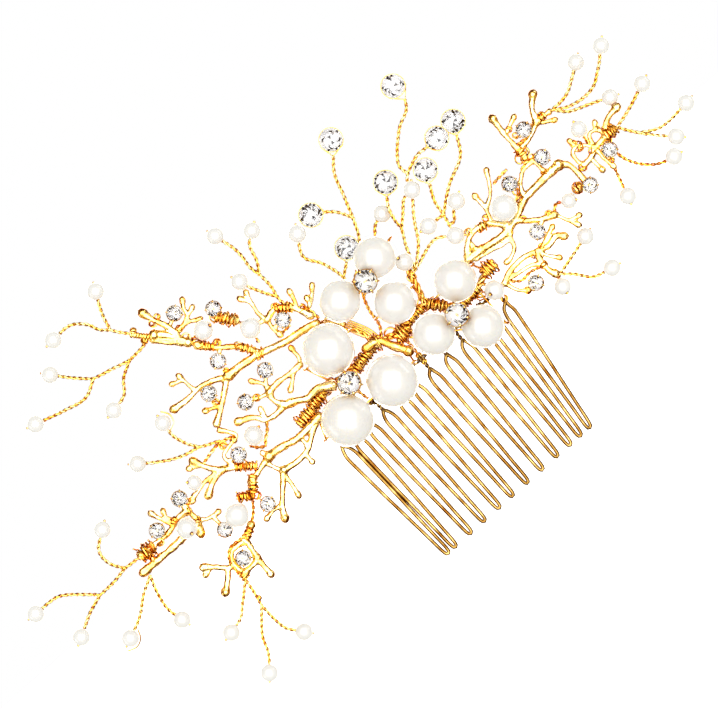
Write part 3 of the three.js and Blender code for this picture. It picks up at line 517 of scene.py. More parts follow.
def stained(nodes, links, colour, stain):
    """One colour multiplied by another, as a thin stain does."""
    mix = nodes.new("ShaderNodeMix")
    mix.data_type = "RGBA"
    mix.blend_type = "MULTIPLY"
    settle(mix, {"Factor": 1.0})
    links.new(colour, mix.inputs["A"])
    links.new(stain, mix.inputs["B"])
    return mix.outputs["Result"]


def gold(name, deep, middle, pale, polish, grain, relief):
    """Gold plating whose colour, polish and skin wander a little, with painted shade darkening its crevices
    and its edges.
    """
    material, nodes, links, shader = new_material(name)
    settle(shader, {"Metallic": 1.0})
    shades = clouded(nodes, links, grain, 3, [(0.3, deep), (0.52, middle), (0.72, pale)])
    # Painted shade: ambient occlusion darkens the colour in crevices and where wires touch.
    hollow = nodes.new("ShaderNodeAmbientOcclusion")
    hollow.samples = 6
    settle(hollow, {"Distance": 0.0006})
    crevice_darkening = ramp(nodes, links, hollow.outputs["AO"], [(0.25, PAINTED_CREVICE_SHADE), (0.75, WHITE)])
    # Painted shade: the colour turns brown where the surface faces away from the eye.
    slant = nodes.new("ShaderNodeLayerWeight")
    settle(slant, {"Blend": 0.5})
    edge = ramp(nodes, links, slant.outputs["Facing"], [(0.25, WHITE), (0.6, PAINTED_EDGE_SHADE)])
    shade_painted_colour = stained(nodes, links, shades, crevice_darkening)
    links.new(stained(nodes, links, shade_painted_colour, edge), shader.inputs["Base Color"])
    polished(nodes, links, 2.4 * grain, 4, *polish, shader)
    bump(nodes, links, 3.5 * grain, 3, relief, 0.00012, shader)
    return material


def pearl(name, body, shade, glow):
    """Imitation pearl: thick cream lacquer with a faint cloudiness under a clear gloss."""
    material, nodes, links, shader = new_material(name)
    shades = clouded(nodes, links, 260, 4, [(0.32, shade), (0.68, body)])
    links.new(shades, shader.inputs["Base Color"])
    polished(nodes, links, 900, 3, 0.24, 0.34, shader)
    settle(shader, {"IOR": 1.5, "Coat Weight": 0.9, "Coat Roughness": 0.16})
    settle(shader, {"Subsurface Weight": glow, "Subsurface Radius": (0.0026, 0.0023, 0.0018)})
    bump(nodes, links, 1500, 2, 0.04, 0.00002, shader)
    return material


def cut_glass():
    material, nodes, links, shader = new_material("cut_glass")
    settle(shader, {"Transmission Weight": 1.0, "IOR": 1.58})
    polished(nodes, links, 700, 2, 0.0, 0.03, shader)
    shades = clouded(nodes, links, 500, 2, [(0.3, (0.97, 0.98, 1.0)), (0.7, WHITE)])
    links.new(shades, shader.inputs["Base Color"])
    return material


def foil(name, metallic, dull, bright):
    """The silvered back of a stone, frosted a little, so that it is never quite a mirror; in near-black it is
    the painted reflection on the dark facets.
    """
    material, nodes, links, shader = new_material(name)
    settle(shader, {"Metallic": metallic})
    shades = clouded(nodes, links, 900, 3, [(0.3, dull), (0.7, bright)])
    links.new(shades, shader.inputs["Base Color"])
    polished(nodes, links, 1200, 2, 0.02, 0.1, shader)
    return material


WHITE = (1.0, 1.0, 1.0)
# Painted shade: the brown the gold is darkened to in its crevices, and the brown where its surface turns away
# from the eye.
PAINTED_CREVICE_SHADE = (0.62, 0.3, 0.06)
PAINTED_EDGE_SHADE = (0.5, 0.2, 0.02)
# Each gold's deep, middle and pale tones, the range of its polish, its grain and its relief.
WIRE_GOLD = gold(
    "wire_gold", (0.8, 0.42, 0.03), (0.92, 0.72, 0.18), (0.97, 0.88, 0.4), (0.1, 0.22), 420, 0.25)
CAST_GOLD = gold(
    "cast_gold", (0.84, 0.49, 0.06), (0.93, 0.77, 0.29), (0.97, 0.91, 0.56), (0.08, 0.22), 300, 1.0)
# The comb's gold is far darker than the other golds: painted shade, set to offset the bright light the teeth
# reflect.
COMB_GOLD = gold(
    "comb_gold", (0.16, 0.06, 0.006), (0.29, 0.18, 0.045), (0.55, 0.4, 0.15), (0.06, 0.14), 350, 0.15)
WRAP_GOLD = gold(
    "wrap_gold", (0.85, 0.3, 0.02), (0.97, 0.6, 0.1), (1.0, 0.83, 0.34), (0.1, 0.22), 420, 0.25)
LARGE_NACRE = pearl("large_pearl_lacquer", (0.965, 0.96, 0.95), (0.955, 0.945, 0.92), 0.3)
SMALL_NACRE = pearl("small_pearl_lacquer", (0.955, 0.95, 0.94), (0.94, 0.93, 0.905), 0)
GLASS_PARTS = [
    cut_glass(),
    foil("silver_foil", 0.2, (0.74, 0.75, 0.78), WHITE),
    # Painted reflection: near-black facets that stand in for the dark room seen in the stone.
    foil("painted_reflection_facets", 0.1, (0.0, 0.0, 0.004), (0.03, 0.03, 0.04)),
]


# ---- objects ----
def make(name, shape, materials, body, slot, nodes=(), sharp=None):
    """Turns a shape into an object in metres that rides on a body and stands for CAD nodes.

    Stones keep flat facets. Other pieces are smooth, up to an angle of sharp degrees if that is given.
    """
    mesh = bpy.data.meshes.new(name)
    mesh.from_pydata([point * MM for point in shape.points], [], shape.faces)
    for material in materials:
        mesh.materials.append(material)
    mesh.polygons.foreach_set("material_index", shape.marks)
    mesh.polygons.foreach_set("use_smooth", [slot != "crystal"] * len(shape.faces))
    faces = bmesh.new()
    faces.from_mesh(mesh)
    bmesh.ops.recalc_face_normals(faces, faces=faces.faces)
    faces.to_mesh(mesh)
    faces.free()
    if sharp is not None:
        mesh.set_sharp_from_angle(angle=math.radians(sharp))
    piece = bpy.data.objects.new(name, mesh)
    bpy.context.scene.collection.objects.link(piece)
    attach(piece, body)
    if nodes:
        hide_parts(*nodes)
    return piece


# ---- the comb blank ----
# The middle of each tooth's arch, its neck, and its tip, along the spine.
TEETH = [
    (-21.4, -21.5, -19.9), (-18.4, -18.4, -18), (-14.7, -14.7, -14), (-10.8, -10.8, -10.4),
    (-6.8, -6.8, -6.5), (-3, -2.7, -3), (1.1, 1.4, 0.9), (5.4, 5.7, 4.8),
    (9.7, 9.9, 8.7), (13.4, 13.4, 12.1), (16.9, 16.9, 14.8), (20.7, 21.1, 17.2),
]


# One leg of a tooth, from its arch down, and the foot that joins the legs: across and up.
TOOTH_LEG = [(0.62, -1.0), (1.0, -2.4), (1.02, -6), (0.92, -12), (0.76, -18), (0.6, -24)]
TOOTH_FOOT = [(-0.45, -29), (-0.3, -29.55), (0, -29.72), (0.3, -29.55), (0.45, -29)]


def tooth_place(arch, tip, offset, up):
    """A place on a tooth, which leans from its arch to its tip and bows back as it goes."""
    along = (up + 0.3) / (TOOTH_TIP + 0.3)
    return place((arch + (tip - arch) * along + offset, up, TOOTH_BOW * along * along))


def add_teeth():
    """Each tooth is one wire: its ends twist together, wind once round the spine and stop."""
    left_leg = [(-across, up) for across, up in TOOTH_LEG]
    for index, (arch, neck, tip) in enumerate(TEETH):
        shape = Shape()
        bend = [tooth_place(arch, tip, *spot) for spot in left_leg + TOOTH_FOOT + TOOTH_LEG[::-1]]
        start = place((neck - NECK_HALF_WIDTH, -0.25, -0.1))
        end = place((neck + NECK_HALF_WIDTH, -0.25, 0.1))
        tube(shape, smooth([start, *bend, end], 0.45), TOOTH_WIRE, 10)
        twisted(shape, every([(neck, up, 0) for up in (-0.5, 0.8, 2.1)]), NECK_STRAND, NECK_PITCH)
        grip = every([(neck + side * GRIP_HALF_LENGTH, SPINE_HEIGHT, 0) for side in (-1, 1)])
        wrapping(shape, *grip, GRIP_RADIUS, GRIP_WIRE, core=False)
        number = f"{index + 1:02d}"
        make(f"tooth_{number}_wire", shape, [COMB_GOLD], "comb", "gold_plate", [f"comb_tooth_{number}"])


def add_spine():
    shape = Shape()
    ends = every([(side * SPINE_HALF_LENGTH, SPINE_HEIGHT, 0) for side in (-1, 0, 1)])
    twisted(shape, ends, SPINE_STRAND, SPINE_PITCH)
    make("spine_twist", shape, [COMB_GOLD], "comb", "gold_plate", ["comb_spine"])


# ---- pearls that turn on their wire ----
# The pearls on each string, their radius, then where its two ends reach the binding.
STRINGS = [
    (["pearl_row_1", "pearl_row_2"], LARGE_PEARL, (-20.5, 9.4, 0), (0.9, 8.4, 0)),
    (["pearl_row_3", "pearl_row_4"], MEDIUM_PEARL, (2, 8.6, 0), (18.6, 5.4, -0.6)),
    (["pearl_left"], LARGE_PEARL, (-14.6, 10.6, 0), (-3.2, 11.4, 0)),
    (["pearl_middle"], MEDIUM_PEARL, (-0.3, 12.5, 0), (9.6, 10.8, 0)),
    (["pearl_right"], MEDIUM_PEARL, (11.4, 8.2, 0), (22, 7.6, 0)),
    (["pearl_top_1", "pearl_top_2"], MEDIUM_PEARL, (-4.6, 14, 0), (1, 18.9, 0)),
]
JOINTS = {joint["child"]: joint for joint in frame["joints"]}


def pearl_turn(name):
    """A turning pearl's centre and the direction of its bore, from its joint."""
    joint = JOINTS[name]
    return Vector(joint["pos_m"]) / MM, Vector(joint["axis"]).normalized()


def add_pearls():
    for names, radius, _, _ in STRINGS:
        for name in names:
            centre, axis = pearl_turn(name)
            shape = Shape()
            drilled_bead(shape, centre, radius, axis, PEARL_BORE, 64, 44)
            make(f"{name}_bead", shape, [LARGE_NACRE], name, "pearl", [name], sharp=60)


def string_route(names, radius, start, end):
    centres = [pearl_turn(name)[0] for name in names]
    axis = pearl_turn(names[0])[1]
    near = centres[0] - axis * (radius + STRING_REACH)
    far = centres[-1] + axis * (radius + STRING_REACH)
    near_back = Vector((near.x, STRING_BACK, near.z))
    far_back = Vector((far.x, STRING_BACK, far.z))
    return [place(start), near_back, near, *centres, far, far_back, place(end)]


# ---- the binding ----
ROPES = [
    [(-23.4, 8.9, 0), (-19.5, 10, 0), (-16, 10.2, 0), (-11, 10, 0), (-6, 10, 0), (-2, 10.2, 0),
     (1.5, 9.4, 0), (6, 9.8, 0), (9.5, 9.8, 0), (12, 6.8, 0), (16, 5, 0), (20, 5.9, 0), (23.4, 7.4, 0)],
    [(-3.2, 10.4, 0), (-3.6, 13, 0), (-4.8, 15.8, 0)],
    [(9, 10, 0), (10.3, 14, 0), (11, 17.2, 0)],
]
TIES = [
    [(-2, 10.2, 0), (-0.3, 12.8, 0), (0.2, 16.5, 0), (1.6, 20, 0), (3.2, 20.9, 0)],
    [(-12.2, 9.8, 0), (-12, 6, 0), (-11.5, 3.6, 0)],
    [(1.5, 8.8, 0), (1.7, 6, 0), (1.6, 3.8, 0)],
    [(11.2, 7.6, 0), (10.9, 5.4, 0), (10.5, 3.6, 0)],
    [(19.5, 5.8, 0), (20.6, 4.8, 0), (21.2, 3.8, 0)],
    [(-19, 9.8, 0), (-20.6, 8.2, 0), (-22.4, 8.4, 0)],
]
BINDING_TWIG = (TRUNK, (-5.5, 11.2, -1.4), (-2.5, 10.6, -1.4), (-1, 8, -1.7), (0.7, 5, -1.8))
BINDING_WRAPS = [
    ((-24.9, 8.7, -0.6), (-21.2, 9, -0.6), 1.5), ((-20.8, 9.8, 0), (-17.4, 10, 0), 1.55),
    ((-16.8, 10.2, 0), (-14.6, 10.2, 0), 1.1), ((-9.8, 9.3, 0), (-4.2, 10.7, 0), 1.25),
    ((-3.6, 10.6, 0), (-2, 10.6, 0), 1.7), ((0.5, 8.7, 0), (3.6, 8.8, 0), 1.8),
    ((3.9, 9.5, 0), (8.2, 9.9, 0), 1.0), ((9.3, 9.8, 0), (12, 6.9, 0), 1.15),
    ((14.6, 5.1, 0), (19.2, 5.6, 0), 1.15), ((21.6, 6.8, 0), (24.4, 7, 0), 1.75),
]
BINDING_KNOTS = [
    (-15, 10.6, 1.1), (-8.6, 10, 1.4), (0.2, 10.2, 1.2), (8.9, 10.3, 1.2), (10.6, 8.9, 1.3), (13, 6.4, 1.2),
    (18.4, 4, 1), (1.5, 1.7, 0.55), (1.5, 3.2, 0.6), (21.4, 0.5, 0.7), (10.6, 15.6, 0.9), (11.7, 16.8, 0.8),
]
# The parallel wires that climb from the binding towards the top pearls.
CLIMBING_WIRES = 5
CLIMBING_GAP = 0.45
CLIMBING_RADIUS = 0.2


def add_binding():
    rough = Shape()
    cast_branch(rough, BINDING_TWIG)
    shape = melted(rough)
    for rope in ROPES:
        twisted(shape, every(rope), ROPE_STRAND, ROPE_PITCH, 3)
    for tie in TIES:
        twisted(shape, every(tie))
    for start, end, radius in BINDING_WRAPS:
        wrapping(shape, place(start), place(end), radius)
    for across, up, size in BINDING_KNOTS:
        knot(shape, place((across, up, 0)), size)
    for k in range(CLIMBING_WIRES):
        shift = CLIMBING_GAP * (k - CLIMBING_WIRES // 2)
        climb = [(-2.7 + shift, 10.4, -0.2), (-3.2 + shift, 13.4, -0.3), (-5 + shift, 17.3, -0.2)]
        single(shape, climb, CLIMBING_RADIUS)
    for string in STRINGS:
        tube(shape, smooth(string_route(*string), 0.5), STRING_WIRE, 8)
    make("binding_wire_wraps", shape, [WRAP_GOLD], "comb", "gold_plate", ["binding_wire"])


def add_craft(shape, piece, core):
    """The twisted wires of a piece, and the wraps and knots that tie it to its neighbours."""
    for wire in piece.get("wires", []):
        twisted(shape, every(wire))
    for start, end, radius in piece.get("wraps", []):
        wrapping(shape, place(start), place(end), radius, core=core)
    for across, up, size in piece.get("knots", []):
        knot(shape, place((across, up)), size)


# ---- the three larger stones ----
def girdle_of(low, high, behind):
    """The middle of a stone's girdle, so far behind the front of the CAD node's box."""
    return Vector(((low.x + high.x) / 2, low.y + behind, (low.z + high.z) / 2))


def add_centre_stones():
    for name in ("centre_stone_left", "centre_stone_top", "centre_stone_right"):
        low, high = node_box(name)
        radius = (high.x - low.x) / 2
        cut, crown, pavilion, cup = (share * radius for share in CENTRE_SHARES)
        girdle = girdle_of(low, high, 1.0)
        stone = Shape()
        brilliant(stone, girdle, cut, crown, pavilion, any_tilt(0.12))
        make(f"{name}_glass", stone, GLASS_PARTS, "comb", "crystal", [name])
        setting = Shape()
        claw_cup(setting, girdle, cut, cup, 6)
        foot = Vector((girdle.x, high.y, girdle.z))
        post = [girdle + 1.2 * BACK, girdle + 4 * BACK, foot]
        twisted(setting, post, 0.2)
        make(f"{name}_setting", setting, [CAST_GOLD], "comb", "gold_plate", sharp=50)


# ---- cast coral ----
CORAL = {
    "coral_upper_left": {
        "cast": [
            (TRUNK, (-9.1, 21.1), (-12, 21.9), (-16, 22.5), (-19, 23.4), (-22, 24.2), (-25.5, 24.8),
             (-29.3, 25)),
            (BRANCH, (-9.1, 21.1), (-9, 20.9, -0.9), (-8, 20.3, 0.3), (-6.4, 18.8, 0.4), (-5.6, 17.6, 0.4)),
            (BRANCH, (-29.3, 25), (-32, 26.3), (-35, 27), (-38, 26.8), (-41.5, 27.2)),
            (BRANCH, (-29.3, 25), (-32, 22.8), (-34.5, 21), (-37, 19.4)),
            (TWIG, (-35.7, 27.1), (-36, 29.5), (-36.2, 31.6)), (TWIG, (-36.1, 30.2), (-38.4, 31.1)),
            (TWIG, (-33.8, 21.6), (-37, 22.9)),
            (BRANCH, (-21.5, 24.6), (-23.6, 27.8), (-26.5, 30.2), (-28.4, 32), (-29.6, 33.6)),
            (TWIG, (-26.6, 30.1), (-28.5, 28.4)),
        ],
        "stones": [(-34, 24.9), (-28.5, 28.4, -1.9)],
        "wraps": [
            ((-22.3, 24.4), (-20.7, 23.9), 1.0), ((-21.9, 25.3), (-23.4, 27.6), 0.8),
            ((-27.2, 31), (-28.9, 33), 0.8),
        ],
        "knots": [
            (-23.7, 28.1, 0.8), (-26.3, 31.2, 0.8), (-29.3, 33.8, 0.9), (-28.6, 26, 0.6),
            (-34.2, 22.8, 0.7),
        ],
    },
    "coral_top_left": {
        "cast": [
            (TRUNK, (-30.4, 34.8), (-31.5, 37), (-33, 39.3), (-34.7, 40.7)),
            (BRANCH, (-31, 37.6), (-31.6, 40.5), (-32.7, 43), (-33.4, 45.5)),
            (TWIG, (-31.4, 38.2), (-28, 38), (-25.6, 36.8)),
            (TWIG, (-29.4, 38), (-27.2, 38.9), (-25.1, 39.7)),
            (TWIG, (-27.2, 38.9), (-26.6, 40.8), (-25.7, 42.2)), (TWIG, (-31.4, 39.6), (-28.7, 41)),
            (BRANCH, (-35.3, 40), (-33.6, 37.9), (-31.2, 35.8)),
        ],
        "wires": [[(-30.6, 35.2), (-28.6, 35), (-26.6, 34.8, -3.6)]],
        "stones": [(-28.7, 41, -2.1)],
        "knots": [
            (-33.1, 42.4, 0.8), (-31.7, 42.8, 0.6), (-30.2, 36, 0.9), (-35, 40.3, 0.85), (-30, 38.2, 0.7),
        ],
        "beads": [(2, (-26.6, 34.8, -3.6))],
    },
    "coral_left_loop": {
        "cast": [
            (BRANCH, (-16.9, 17.3), (-19.5, 17.3), (-22.5, 17.6), (-25.3, 17.2)),
            (TWIG, (-16.9, 17.3), (-16.3, 18.4), (-16.2, 21.1)),
            (TWIG, (-25.3, 17.2), (-24.8, 19), (-26.4, 21.4)),
            (TWIG, (-25.3, 17.2), (-27.2, 17.8), (-29.3, 19)), (TWIG, (-24.8, 18.4), (-23, 20.8)),
            (BRANCH, (-25.3, 17.2), (-25.4, 15.2), (-24.5, 13.4)),
            (TRUNK, (-24.5, 13.4), (-22.4, 12.6), (-20.4, 11.5), (-17.6, 11.5), (-14.8, 9.9)),
            (BRANCH, (-24.5, 13.4), (-27, 13.2), (-29.2, 13.7), (-30.6, 15.6), (-33.6, 17.1)),
            (TWIG, (-29, 13.6), (-28.5, 16.1)), (TWIG, (-18.5, 17.3), (-20.3, 15.9), (-21.9, 14.7)),
        ],
        "wires": [
            [(-32.6, 9.9), (-33.8, 10.6, -2.8), (-34.7, 12.2, -3.4), (-32.9, 13, -3.8)],
            [(-29.2, 13.4), (-30.3, 12), (-31.6, 11), (-32.6, 9.9)],
        ],
        "stones": [(-22.8, 21), (-29.8, 18.9)],
        "knots": [(-27.6, 18.1, 0.7), (-24.6, 13.5, 0.8), (-25.2, 17.3, 0.7)],
        "beads": [(2, (-32.9, 13, -3.8))],
    },
    "coral_mid_left": {
        "cast": [
            (TRUNK, (-20.8, 7.2), (-24, 7), (-27, 6.9), (-30.5, 7.7), (-33.8, 8)),
            (TWIG, (-33.8, 8), (-33.9, 9.4)),
            (BRANCH, (-33.8, 8), (-36.5, 7.2), (-39.4, 6.6)),
            (BRANCH, (-22, 6.9), (-24.3, 5.6), (-27, 3.9), (-30.5, 3.6), (-33.2, 4.1)),
            (TWIG, (-34.8, 7.6), (-34, 5.6), (-33.2, 4.1)), (TWIG, (-26.4, 6.9), (-26.5, 4.2)),
            (TWIG, (-27.8, 3.6), (-27.8, 1.4)),
            (BRANCH, (-33.2, 4.1), (-35, 2.1), (-37, 0), (-38.2, -1.4), (-39.2, -3.4)),
            (TWIG, (-33.4, 3.7), (-33.7, 1), (-34.2, -1.8)), (TWIG, (-37.5, -0.7), (-40, -0.5), (-42, -0.9)),
        ],
        "stones": [(-39.7, 1.2)],
    },
    "coral_left_fork": {
        "cast": [
            (BRANCH, (-37.6, 9.2), (-38.8, 10), (-40.5, 11.2), (-42.2, 12.2)),
            (BRANCH, (-42.2, 12.2), (-43.5, 13.8), (-44.4, 15.5), (-45.2, 17.4)),
            (TWIG, (-44.4, 15.5), (-46.9, 16.6)),
            (BRANCH, (-42.2, 12.2), (-45, 11.4), (-47.5, 10)),
            (TWIG, (-42.2, 12.2), (-45.5, 12.6), (-49, 11.9), (-50.7, 11.3)),
            (TWIG, (-39.5, 10.5), (-40, 13.8), (-38, 14.6), (-35.4, 15.2), (-37.3, 18.3)),
            (TWIG, (-39.8, 12.4), (-37.6, 12.1)),
        ],
        "wires": [
            [(-46.5, 12.6), (-47.7, 13.8, -3.4)],
            [(-44.2, 15.3), (-41.5, 16), (-38.7, 16.3), (-35.4, 15.2)],
        ],
        "stones": [(-37.6, 12.1)],
        "beads": [(1.6, (-47.7, 13.8, -3.4))],
        "wraps": [((-39.8, 10.9), (-36.4, 8.2), 0.85)],
        "knots": [(-38.7, 15.5, 0.8), (-36.4, 15, 0.7), (-42.4, 12.1, 0.75)],
    },
    "coral_far_left": {
        "cast": [
            (TRUNK, (-67, 7.3, -2), (-62, 7.2, -2), (-57, 7.2, -2), (-52.3, 7.6, -2)),
            (BRANCH, (-52.2, 12.4, -2), (-52.2, 10, -2), (-52.3, 7.6, -2), (-53.5, 5.3, -2)),
            (TWIG, (-52.2, 8.2, -2), (-50.4, 6.8, -2), (-47.8, 6.4, -2)),
            (TWIG, (-49.4, 6.6, -2), (-49.3, 3.4, -2)),
            (BRANCH, (-52.2, 10.6, -2), (-55, 10.7, -2), (-57.5, 9.9, -2), (-61, 9.9, -2), (-65.2, 10, -2)),
            (TWIG, (-56.3, 10.2, -2), (-57.3, 12.7, -2), (-58.1, 15.1, -2)),
            (TWIG, (-55, 10.7, -2), (-56.3, 12.2, -2), (-55.9, 13.9, -2)),
            (TWIG, (-63.6, 9.5, -2), (-63.6, 7.4, -2)),
        ],
        "wires": [[(-54.8, 10.4, -2), (-54.6, 8.1, -4.4)], [(-52.2, 10.9, -2), (-50.6, 11.9), (-49, 12.2)]],
        "stones": [(-59.3, 11.6, -1.8), (-51.9, 13.4, -1.8), (-49.3, 3, -1.8)],
        "beads": [(2.1, (-54.6, 8.1, -4.4))],
        "wraps": [((-65.2, 10, -2), (-61.9, 10, -2), 1.6)],
        "knots": [(-55.6, 10.8, 0.8), (-52.4, 10.4, 0.8), (-52.2, 8, 0.8), (-60.4, 9.6, 0.8)],
    },
    "coral_lower_left": {
        "cast": [
            (BRANCH, (-52.3, -5.9), (-52.4, -2.6), (-51.2, -1.1), (-47.6, -1.2)),
            (BRANCH, (-47.6, -1.2), (-48.3, -5.7)),
            (BRANCH, (-48.3, -5.7), (-52.3, -5.9)), (BRANCH, (-47.8, -1.1), (-46, -0.4), (-44.7, 0.4)),
            (BRANCH, (-48.3, -5.7), (-48.4, -9.7)),
            (BRANCH, (-52.4, -3.4), (-53.8, -3), (-55.5, -1.3), (-57.5, 0.4)),
            (TWIG, (-56.1, -0.8), (-58.2, -1.2)), (BRANCH, (-53.8, -3), (-55.2, -4.5), (-57.6, -6.4)),
            (TWIG, (-52.4, -3.4), (-50.3, -3.5)),
        ],
        "wires": [
            [(-44.7, 0.4), (-42.9, 1.9), (-41.6, 3.5, -1.6), (-40.5, 5.2, -1.2)],
            [(-52.9, -5.6, -3), (-52.8, -2.4, -3), (-50.9, -0.4, -3), (-47.4, -0.4, -3), (-45, 0.2, -2.8)],
        ],
        "stones": [(-50.3, -3.5)],
        "wraps": [
            ((-52.4, -6.9), (-52.5, -5.2), 0.8), ((-47.4, -1), (-45.4, -0.1), 0.75),
            ((-38.1, 7.4), (-40.4, 4.7), 0.9),
            ((-43.4, 6, -2.2), (-40.5, 4.3, -1.8), 0.95),
        ],
        "knots": [(-40.2, 3.8, 0.8), (-52.5, -5.9, 0.7), (-47.8, -1.3, 0.75), (-48.6, -5.6, 0.6)],
    },
    "coral_inner_left": {
        "cast": [
            (TWIG, (-17.6, 28.7), (-16.2, 28), (-16.3, 26), (-16, 24.1)),
            (BRANCH, (-16.2, 28), (-14, 28.7), (-12.4, 28.2), (-10.8, 26.6), (-9.7, 24.6), (-9.1, 22.9)),
            (TWIG, (-16.2, 26), (-13.7, 26)), (TWIG, (-10.3, 25.8), (-9.5, 27.5), (-9, 29.6)),
            (TWIG, (-9.6, 24.4), (-7.9, 24.8, -1.4), (-7.3, 26.4, -1.4)),
            (TWIG, (-7.9, 24.8, -1.4), (-6.4, 25.8, -1.1), (-4.9, 27.5, -1.4)),
            (TWIG, (-16.2, 28), (-16.5, 30.4), (-16.2, 32.8), (-17.4, 34.9)),
            (TWIG, (-16.2, 32.8), (-15.5, 35)),
        ],
        "stones": [(-13.7, 26)],
        "wires": [[(-9, 26), (-8.5, 23.8), (-8.3, 21.7)], [(-16.2, 24.2), (-14.8, 24.3), (-13.4, 24.4)]],
        "wraps": [((-13.2, 28.5), (-10.8, 26.9), 0.95)],
        "knots": [(-13.2, 28.9, 0.8), (-11.1, 27, 0.9), (-9.7, 25.2, 0.7)],
    },
    "wrapped_stem_left": {
        "cast": [(BRANCH, (-23, 35.3), (-21.7, 33.4), (-20.7, 31.9))],
        "wires": [[(-20.7, 32), (-19.6, 29.4, -4), (-20.2, 26, -1.9)]],
        "stones": [(-22.4, 36.6)],
        "beads": [(2.15, (-19.5, 29, -4.3))],
        "wraps": [((-23, 35.3), (-20.7, 31.9), 1.3)],
        "knots": [(-23.2, 35.3, 1.1), (-20.8, 32.4, 1)],
    },
    "coral_right": {
        "cast": [
            (TRUNK, (20.8, 10.8), (24, 10.7), (27.5, 10.1), (31, 10), (34, 10.9), (36.5, 12.2), (40, 12.7),
             (46.8, 13)),
            (BRANCH, (46.8, 13), (48, 11.6), (48.3, 9.5), (48.3, 6)),
            (BRANCH, (21.2, 11.4), (24.3, 14), (27.5, 14.1), (29.3, 13), (31.3, 10.6)),
            (TWIG, (23.6, 13.3), (23.6, 11)), (TWIG, (29.3, 13.2), (30.2, 16), (30.3, 19.5)),
            (TWIG, (30.2, 15.8), (33, 17.8), (35.4, 21.7)),
            (TWIG, (22.2, 9.9), (25.5, 9.3), (29.4, 8.5), (30.9, 9.4)),
            (TWIG, (30, 8.7), (29.5, 6.8), (27.6, 5.6), (26.2, 5.5)),
            (BRANCH, (33, 10.4), (35.5, 8.3), (37.5, 7), (39.6, 6.2)),
            (TWIG, (39.6, 6.2), (40.8, 3.5), (41.8, 1.4)), (TWIG, (40.9, 3.4), (43.2, 2.9)),
            (TWIG, (37.4, 7.1), (34.7, 6)), (TWIG, (37.2, 12.6), (38.4, 15), (40.8, 16.8), (43.5, 16.9)),
            (TWIG, (43.5, 16.9), (43.6, 13)), (TWIG, (38.6, 15.2), (36.8, 16.4)),
        ],
        "wires": [
            [(39.6, 6.3), (41, 7.6), (43.3, 6.4, -3.4)], [(34.6, 18.6), (36.4, 18.9), (38.3, 19)],
            [(37, 13.3), (38.9, 15.6), (41.2, 17.3), (43.4, 17.4)],
        ],
        "stones": [(36.8, 16.5), (34.7, 5.9), (45, 16.2), (48.4, 5.9)],
        "beads": [(1.6, (43.3, 6.4, -3.4))],
        "wraps": [((26.4, 14.1), (28.6, 13.6), 0.85), ((45.7, 7.1), (47.6, 6.8), 1.0)],
        "knots": [
            (24.7, 14.8, 0.8), (29, 14.6, 0.7), (31.2, 10.7, 0.8), (36.5, 13, 0.9), (36.9, 14.6, 0.7),
            (46.3, 7.2, 1.1), (34.3, 9.6, 0.7), (38.7, 7.1, 0.7), (43.6, 13.6, 0.8),
        ],
    },
    "coral_upper_right": {
        "cast": [
            (BRANCH, (42.6, 18.1), (42.6, 21), (42.6, 24.5), (42.9, 28.5)),
            (BRANCH, (42.6, 20.2), (45.5, 20.6), (47.8, 21.6), (49.3, 22.3)),
            (BRANCH, (49, 22.1), (49.8, 24.4), (52.1, 26.8)), (TWIG, (48.5, 21.9), (52, 19.9)),
            (TWIG, (42.7, 24.2), (44.5, 25), (46.4, 25.8)), (TWIG, (49.3, 22.3), (52.2, 21.9)),
        ],
        "stones": [(45.9, 22.6)],
        "wires": [[(43.2, 21.2), (45.6, 21.2), (47.8, 22.4)]],
        "wraps": [((42.6, 18.4), (42.6, 20.6), 0.9), ((48.8, 22), (51, 22.2), 0.7)],
        "knots": [
            (41.7, 18.9, 1.0), (43.3, 19.3, 0.9), (43.5, 17.7, 0.6), (43.9, 24.6, 0.6), (44, 22.8, 0.6),
            (50.4, 22.4, 0.7),
        ],
    },
    "coral_far_right": {
        "cast": [
            (TWIG, (49.9, 12.7), (51, 13.4), (52.6, 12.7), (54.2, 10.8)),
            (TWIG, (49.9, 12.7), (49.8, 10.8), (50.3, 9.6)),
            (BRANCH, (50.3, 9.6), (52.2, 9.9), (54.6, 10.7), (57.2, 11)),
            (BRANCH, (57.5, 11.6), (59.5, 13.3), (62.7, 13.9)),
            (TWIG, (54, 10.9), (55, 13.5), (56.5, 13.2), (57.6, 11.2)), (TWIG, (51.4, 13.3), (51.2, 15.2)),
            (TWIG, (56.3, 13.2), (57.4, 14.6)), (TWIG, (52.1, 9.9), (52.3, 6.4)),
            (TWIG, (54.1, 10.6), (54.1, 8), (54.4, 5.4)), (BRANCH, (57, 11), (59.4, 10.9)),
        ],
        "wires": [
            [(54.4, 5.6), (53.8, 3.6), (52.5, -0.5, -3.2)],
            [(56.4, 8.2), (57.1, 5), (58.4, 2.8), (60.3, 0.8, -2.7), (62.2, -0.2, -3.2), (64.3, -0.7, -3.7)],
            [(53.6, 11.6), (54, 15.6, -3.4)],
        ],
        "stones": [(55.8, 8.6)],
        "beads": [
            (SPRAY_PEARL, (52.5, -0.5, -3.2)), (SPRAY_PEARL, (64.3, -0.7, -3.7)),
            (SPRAY_PEARL, (54, 15.6, -3.4)),
        ],
        "wraps": [((57, 11.1), (59.5, 11), 1.25)],
        "knots": [
            (51.8, 13.1, 1.0), (51.4, 14.1, 0.7), (49.8, 9.5, 0.8), (56.8, 10.4, 1.0), (58.2, 11.8, 1.1),
            (54.8, 6.8, 0.6), (53.3, 10.6, 0.8), (56.9, 13.4, 0.6),
        ],
    },
    "coral_lower_right": {
        "cast": [
